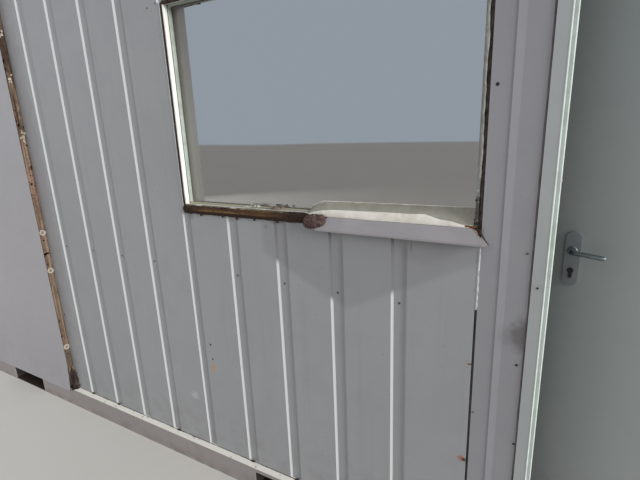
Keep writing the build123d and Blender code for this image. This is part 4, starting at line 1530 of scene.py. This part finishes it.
# Packed dirt and painted shade: a dark crust on the floor of the fork pockets, just inside each mouth
pocketLook = {
    "crust": {
        "across": 40, "thick": 0.002, "relief": 0.006, "ragged": 0.02, "wave": 20, "grain": 24, "sunk": 0.0,
        "taper": 0.02,
    },
    "half": 0.163,
    "plate": 0.007,
    "start": 0.050,
    "length": 0.42,
    "level": 0.0010,
}


def addPocketDirtAndShade(look):
    tunnelLow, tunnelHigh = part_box("fork_tunnels")
    edge = look["half"] + look["plate"]
    middles = (tunnelLow.x + edge, tunnelHigh.x - edge)
    for side, sign in (("front", 1), ("back", -1)):
        dirt = Shape(side)
        for middle in middles:
            start = (sign * middle - look["half"], look["start"] - railFace, look["level"])
            dirt.crust(start, (look["half"] * 2, 0, 0), (0, look["length"], 0), (0, 0, 1), look["crust"])
        dirt.piece(side + "PocketDirtAndShade", "tunnelDirtAndShade", "frame_paint")


addPocketDirtAndShade(pocketLook)

# Dirt on the base rail's ledge: a line along the wall, and tufts below some of the grooves
ledgeLook = {
    "line": {"steps": 300, "thick": 0.0008, "ragged": 0.45, "wave": 16, "taper": 0.01},
    "width": 0.0026,
    "pastWall": 0.001,
    "fromCover": 0.004,
    "longHalf": 2.87,
    "shortHalf": 1.14,
    "tuft": (0.011, 0.005, 0.004),
    "tuftShare": 0.75,
    "tuftSpread": 0.012,
    "tuftRelief": 0.002,
}


def addLedgeDirt(look):
    longSpan, shortSpan = (-look["longHalf"], look["longHalf"]), (-look["shortHalf"], look["shortHalf"])
    frontSpan = (coverHigh.x + look["fromCover"], doorLow.x)
    spans = {"front": frontSpan, "back": longSpan, "left": shortSpan, "right": shortSpan}
    for side, (start, end) in spans.items():
        dirt = Shape(side)
        face, centres = wallOf(side)
        corner, width = (start, -face - look["width"], ledgeLevel), look["width"] + look["pastWall"]
        dirt.crust(corner, (end - start, 0, 0), (0, width, 0), (0, 0, 1), look["line"])
        for centre in centres:
            if start < centre < end and random.random() < look["tuftShare"]:
                size = [part * random.uniform(0.7, 1.3) for part in look["tuft"]]
                across = centre + random.uniform(-look["tuftSpread"], look["tuftSpread"])
                dirt.lump((across, -face - 0.002, ledgeLevel + 0.001), size, look["tuftRelief"])
        dirt.piece(side + "LedgeDirt", "gapDirt", "frame_paint")


addLedgeDirt(ledgeLook)

# Weld beads where the posts stand on the corner blocks and carry the upper ones
weldLook = {"radius": 0.0032, "step": 0.004, "uneven": 0.5}


def addWelds(look):
    welds = Shape()
    low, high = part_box("front_left_post")
    for level in (low.z, high.z):
        for turnX in (-1, 1):
            for turnY in (-1, 1):
                outer = Vector((turnX * -low.x, turnY * -low.y, level))
                inner = Vector((turnX * -high.x, turnY * -high.y, level))
                for end in (Vector((inner.x, outer.y, level)), Vector((outer.x, inner.y, level))):
                    count = round((end - outer).length / look["step"])
                    route = [outer + (end - outer) * (step / count) for step in range(count + 1)]
                    welds.bead(route, look["radius"], uneven=look["uneven"])
    welds.piece("postWelds", "framePaint", "frame_paint", sharpest=60)


addWelds(weldLook)
print("stage: frame")

# Door seal: a soft strip round the frame's step, with a raised bead along both edges
doorSealLook = {
    "face": 0.032,
    "section": [
        (-0.0004, 0.0065), (-0.0004, -0.0002), (0.0004, -0.0008), (0.0014, -0.0006), (0.0034, 0.0022),
        (0.0040, 0.0034), (0.0100, 0.0036), (0.0106, 0.0026), (0.0114, 0.0008), (0.0122, 0.0006),
        (0.0142, 0.0032), (0.0144, 0.0065),
    ],
    "nick": (1.9075, 1.402),
    "nickDeep": 0.003,
    "nickSize": (0.0025, 0.002, 0.004),
    "nickRelief": 0.001,
}


def addDoorSeal(look):
    left, right = doorLow.x + look["face"], doorHigh.x - look["face"]
    head = doorHigh.z - look["face"]
    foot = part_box("door_threshold")[0].z + 0.001
    corners = [(left, foot, 1, 0), (left, head, 1, -1), (right, head, -1, -1), (right, foot, -1, 0)]
    rings = []
    for x, z, inX, inZ in corners:
        section = [(inset, doorLow.y + deep) for inset, deep in look["section"]]
        rings.append([(x + inX * inset, y, z + inZ * inset) for inset, y in section])
    seal, nick = Shape(), Shape()
    seal.loft(rings)
    seal.piece("doorSeal", "doorSeal", "window_frame", sharpest=60)
    x, z = look["nick"]
    nick.lump((x, doorLow.y + look["nickDeep"], z), look["nickSize"], look["nickRelief"])
    nick.piece("sealNick", "tornWhite", "window_frame")


addDoorSeal(doorSealLook)

# The leaf's fittings are placed on the shut leaf, then swung to where it stands at rest
hingeJoint = frame["record"]["behaviour"]["joints"][0]
restSwing = (
    Matrix.Translation(hingeJoint["pos_m"])
    @ Matrix.Rotation(math.radians(hingeJoint["range_deg"][0]), 4, "Z")
    @ Matrix.Translation(-Vector(hingeJoint["pos_m"]))
)
fittingsLook = {
    "front": -1.142,
    "thickness": 0.040,
    "freeEdge": 1.8875,
    "leverX": 1.9495,
    "leverLevel": 1.170,
    "plate": 0.007,
    "facePlate": (0.020, 0.235, 0.0022),
    "facePlateDrop": 0.035,
    "facePlateScrews": 0.43,
    "facePlateScrew": {"radius": 0.0035, "height": 0.0016, "washer": 0.0038},
    "latch": (0.012, 0.024, 0.0048),
    "deadBolt": (0.030, 0.0018),
    "deadBoltDrop": 0.062,
    "collar": [
        (0.0096, -0.0005), (0.0096, 0.0028), (0.0104, 0.0038), (0.0120, 0.0036), (0.0134, 0.0022),
        (0.0138, -0.0005),
    ],
    "plateScrews": (0.040, -0.098),
    "screw": {"radius": 0.0036, "height": 0.0016, "washer": 0.0042},
    "hingePlate": 0.004,
    "hingeCount": 3,
    "knuckle": 0.050,
    "hingeScrews": ((0.028, 0.014), (0.028, 0.038)),
}


def swing(point):
    return restSwing @ Vector(point)


def swungTurned(shape, profile, place, axis, sides=12, ends=True):
    shape.turned(profile, swing(place), restSwing.to_3x3() @ Vector(axis), sides, ends)


def roundedBar(wide, tall, radius, steps=5):
    # An upright outline with rounded corners, about its middle
    outline = []
    for quarter, (x, z) in enumerate(((1, 1), (-1, 1), (-1, -1), (1, -1))):
        for step in range(steps + 1):
            angle = math.pi / 2 * (quarter + step / steps)
            across = x * (wide / 2 - radius) + radius * math.cos(angle)
            outline.append((across, z * (tall / 2 - radius) + radius * math.sin(angle)))
    return outline


def addLatch(look):
    edge, lever = look["freeEdge"], look["leverLevel"]
    middle = look["front"] + look["thickness"] / 2

    def onEdge(outline, level, out):
        return [swing((edge - out, middle + y, level + z)) for y, z in outline]

    plate, latch = Shape(), Shape()
    wide, tall, thick = look["facePlate"]
    level = lever - look["facePlateDrop"]
    outline = roundedBar(wide, tall, wide / 2 - 0.0005)
    plate.loft([onEdge(outline, level, out) for out in (-0.001, thick * 0.6)])
    profile = screwProfile(look["facePlateScrew"])
    for rise in (-1, 1):
        place = (edge - thick * 0.6, middle, level + rise * tall * look["facePlateScrews"])
        swungTurned(plate, profile, place, (-1, 0, 0))
    plate.piece("latchPlate", "zincPlate", "hinge_steel", "door", 35)
    deep, high, reach = look["latch"]
    back, face = middle - deep / 2, middle + deep / 2
    # The bolt is bevelled towards the side that the leaf shuts from
    bevel = (edge - reach, face - deep * 0.35)
    plan = [(edge, back), (edge - 0.001, back), bevel, (edge - reach, face), (edge, face)]
    latch.loft([[swing((x, y, lever + z)) for x, y in plan] for z in (-high / 2, high / 2)])
    tall, reach = look["deadBolt"]
    outline = roundedBar(deep, tall, 0.002)
    latch.loft([onEdge(outline, lever - look["deadBoltDrop"], out) for out in (0.0, reach)])
    latch.piece("latchBolt", "blackCylinder", "hinge_steel", "door", 35)


def addLeafFittings(look):
    # A collar under each lever, and two screws through the inner plate
    collars, screws = Shape(), Shape()
    x, level = look["leverX"], look["leverLevel"]
    outer = look["front"] - look["plate"]
    inner = look["front"] + look["thickness"] + look["plate"]
    closed = look["collar"] + look["collar"][:1]
    swungTurned(collars, closed, (x, outer, level), (0, -1, 0), 32, False)
    swungTurned(collars, closed, (x, inner, level), (0, 1, 0), 32, False)
    collars.piece("leverCollars", "leverAluminium", "lever_metal", "door", 35)
    for rise in look["plateScrews"]:
        swungTurned(screws, screwProfile(look["screw"]), (x, inner, level + rise), (0, 1, 0))
    screws.piece("lockPlateScrews", "zincPlate", "hinge_steel", "door", 35)


def addHingeScrews(look):
    # Two screws in each wing of each hinge, on the inner face
    hingeX = hingeJoint["pos_m"][0]
    back = look["front"] + look["thickness"] + look["hingePlate"]
    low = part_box("frame_hinges")[0].z + look["knuckle"]
    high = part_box("leaf_hinges")[1].z - look["knuckle"]
    profile = screwProfile(look["screw"])
    onFrame, onLeaf = Shape(), Shape()
    for step in range(look["hingeCount"]):
        level = low + (high - low) * step / (look["hingeCount"] - 1)
        for across, up in look["hingeScrews"]:
            onFrame.turned(profile, (hingeX + across, back, level - up), (0, 1, 0), 12)
            swungTurned(onLeaf, profile, (hingeX - across, back, level + up), (0, 1, 0))
    onFrame.piece("frameHingeScrews", "zincPlate", "hinge_steel", sharpest=35)
    onLeaf.piece("leafHingeScrews", "zincPlate", "hinge_steel", "door", 35)


addLatch(fittingsLook)
addLeafFittings(fittingsLook)
addHingeScrews(fittingsLook)
print("stage: door")

# Roof sheet fasteners: rows of capped screws in the troughs between the ribs
roofLook = {
    "rows": 5,
    "pitch": 0.25,
    "ribHeight": 0.020,
    "fromEdge": 0.06,
    "screw": {"radius": 0.0065, "height": 0.0055, "washer": 0.0095},
}


def addRoofScrews(look):
    low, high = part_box("roof_panel")
    screws = Shape()
    profile = screwProfile(look["screw"])
    troughs = int((high.x - low.x) / look["pitch"] / 2)
    inset = look["fromEdge"]
    for step in range(-troughs, troughs):
        for row in range(look["rows"]):
            y = low.y + inset + (high.y - low.y - 2 * inset) * row / (look["rows"] - 1)
            place = ((step + 0.5) * look["pitch"], y, high.z - look["ribHeight"])
            screws.turned(profile, place, (0, 0, 1), 10)
    screws.piece("roofScrews", "zincPlate", "roof_sheet", sharpest=35)


addRoofScrews(roofLook)
print("stage: roof")
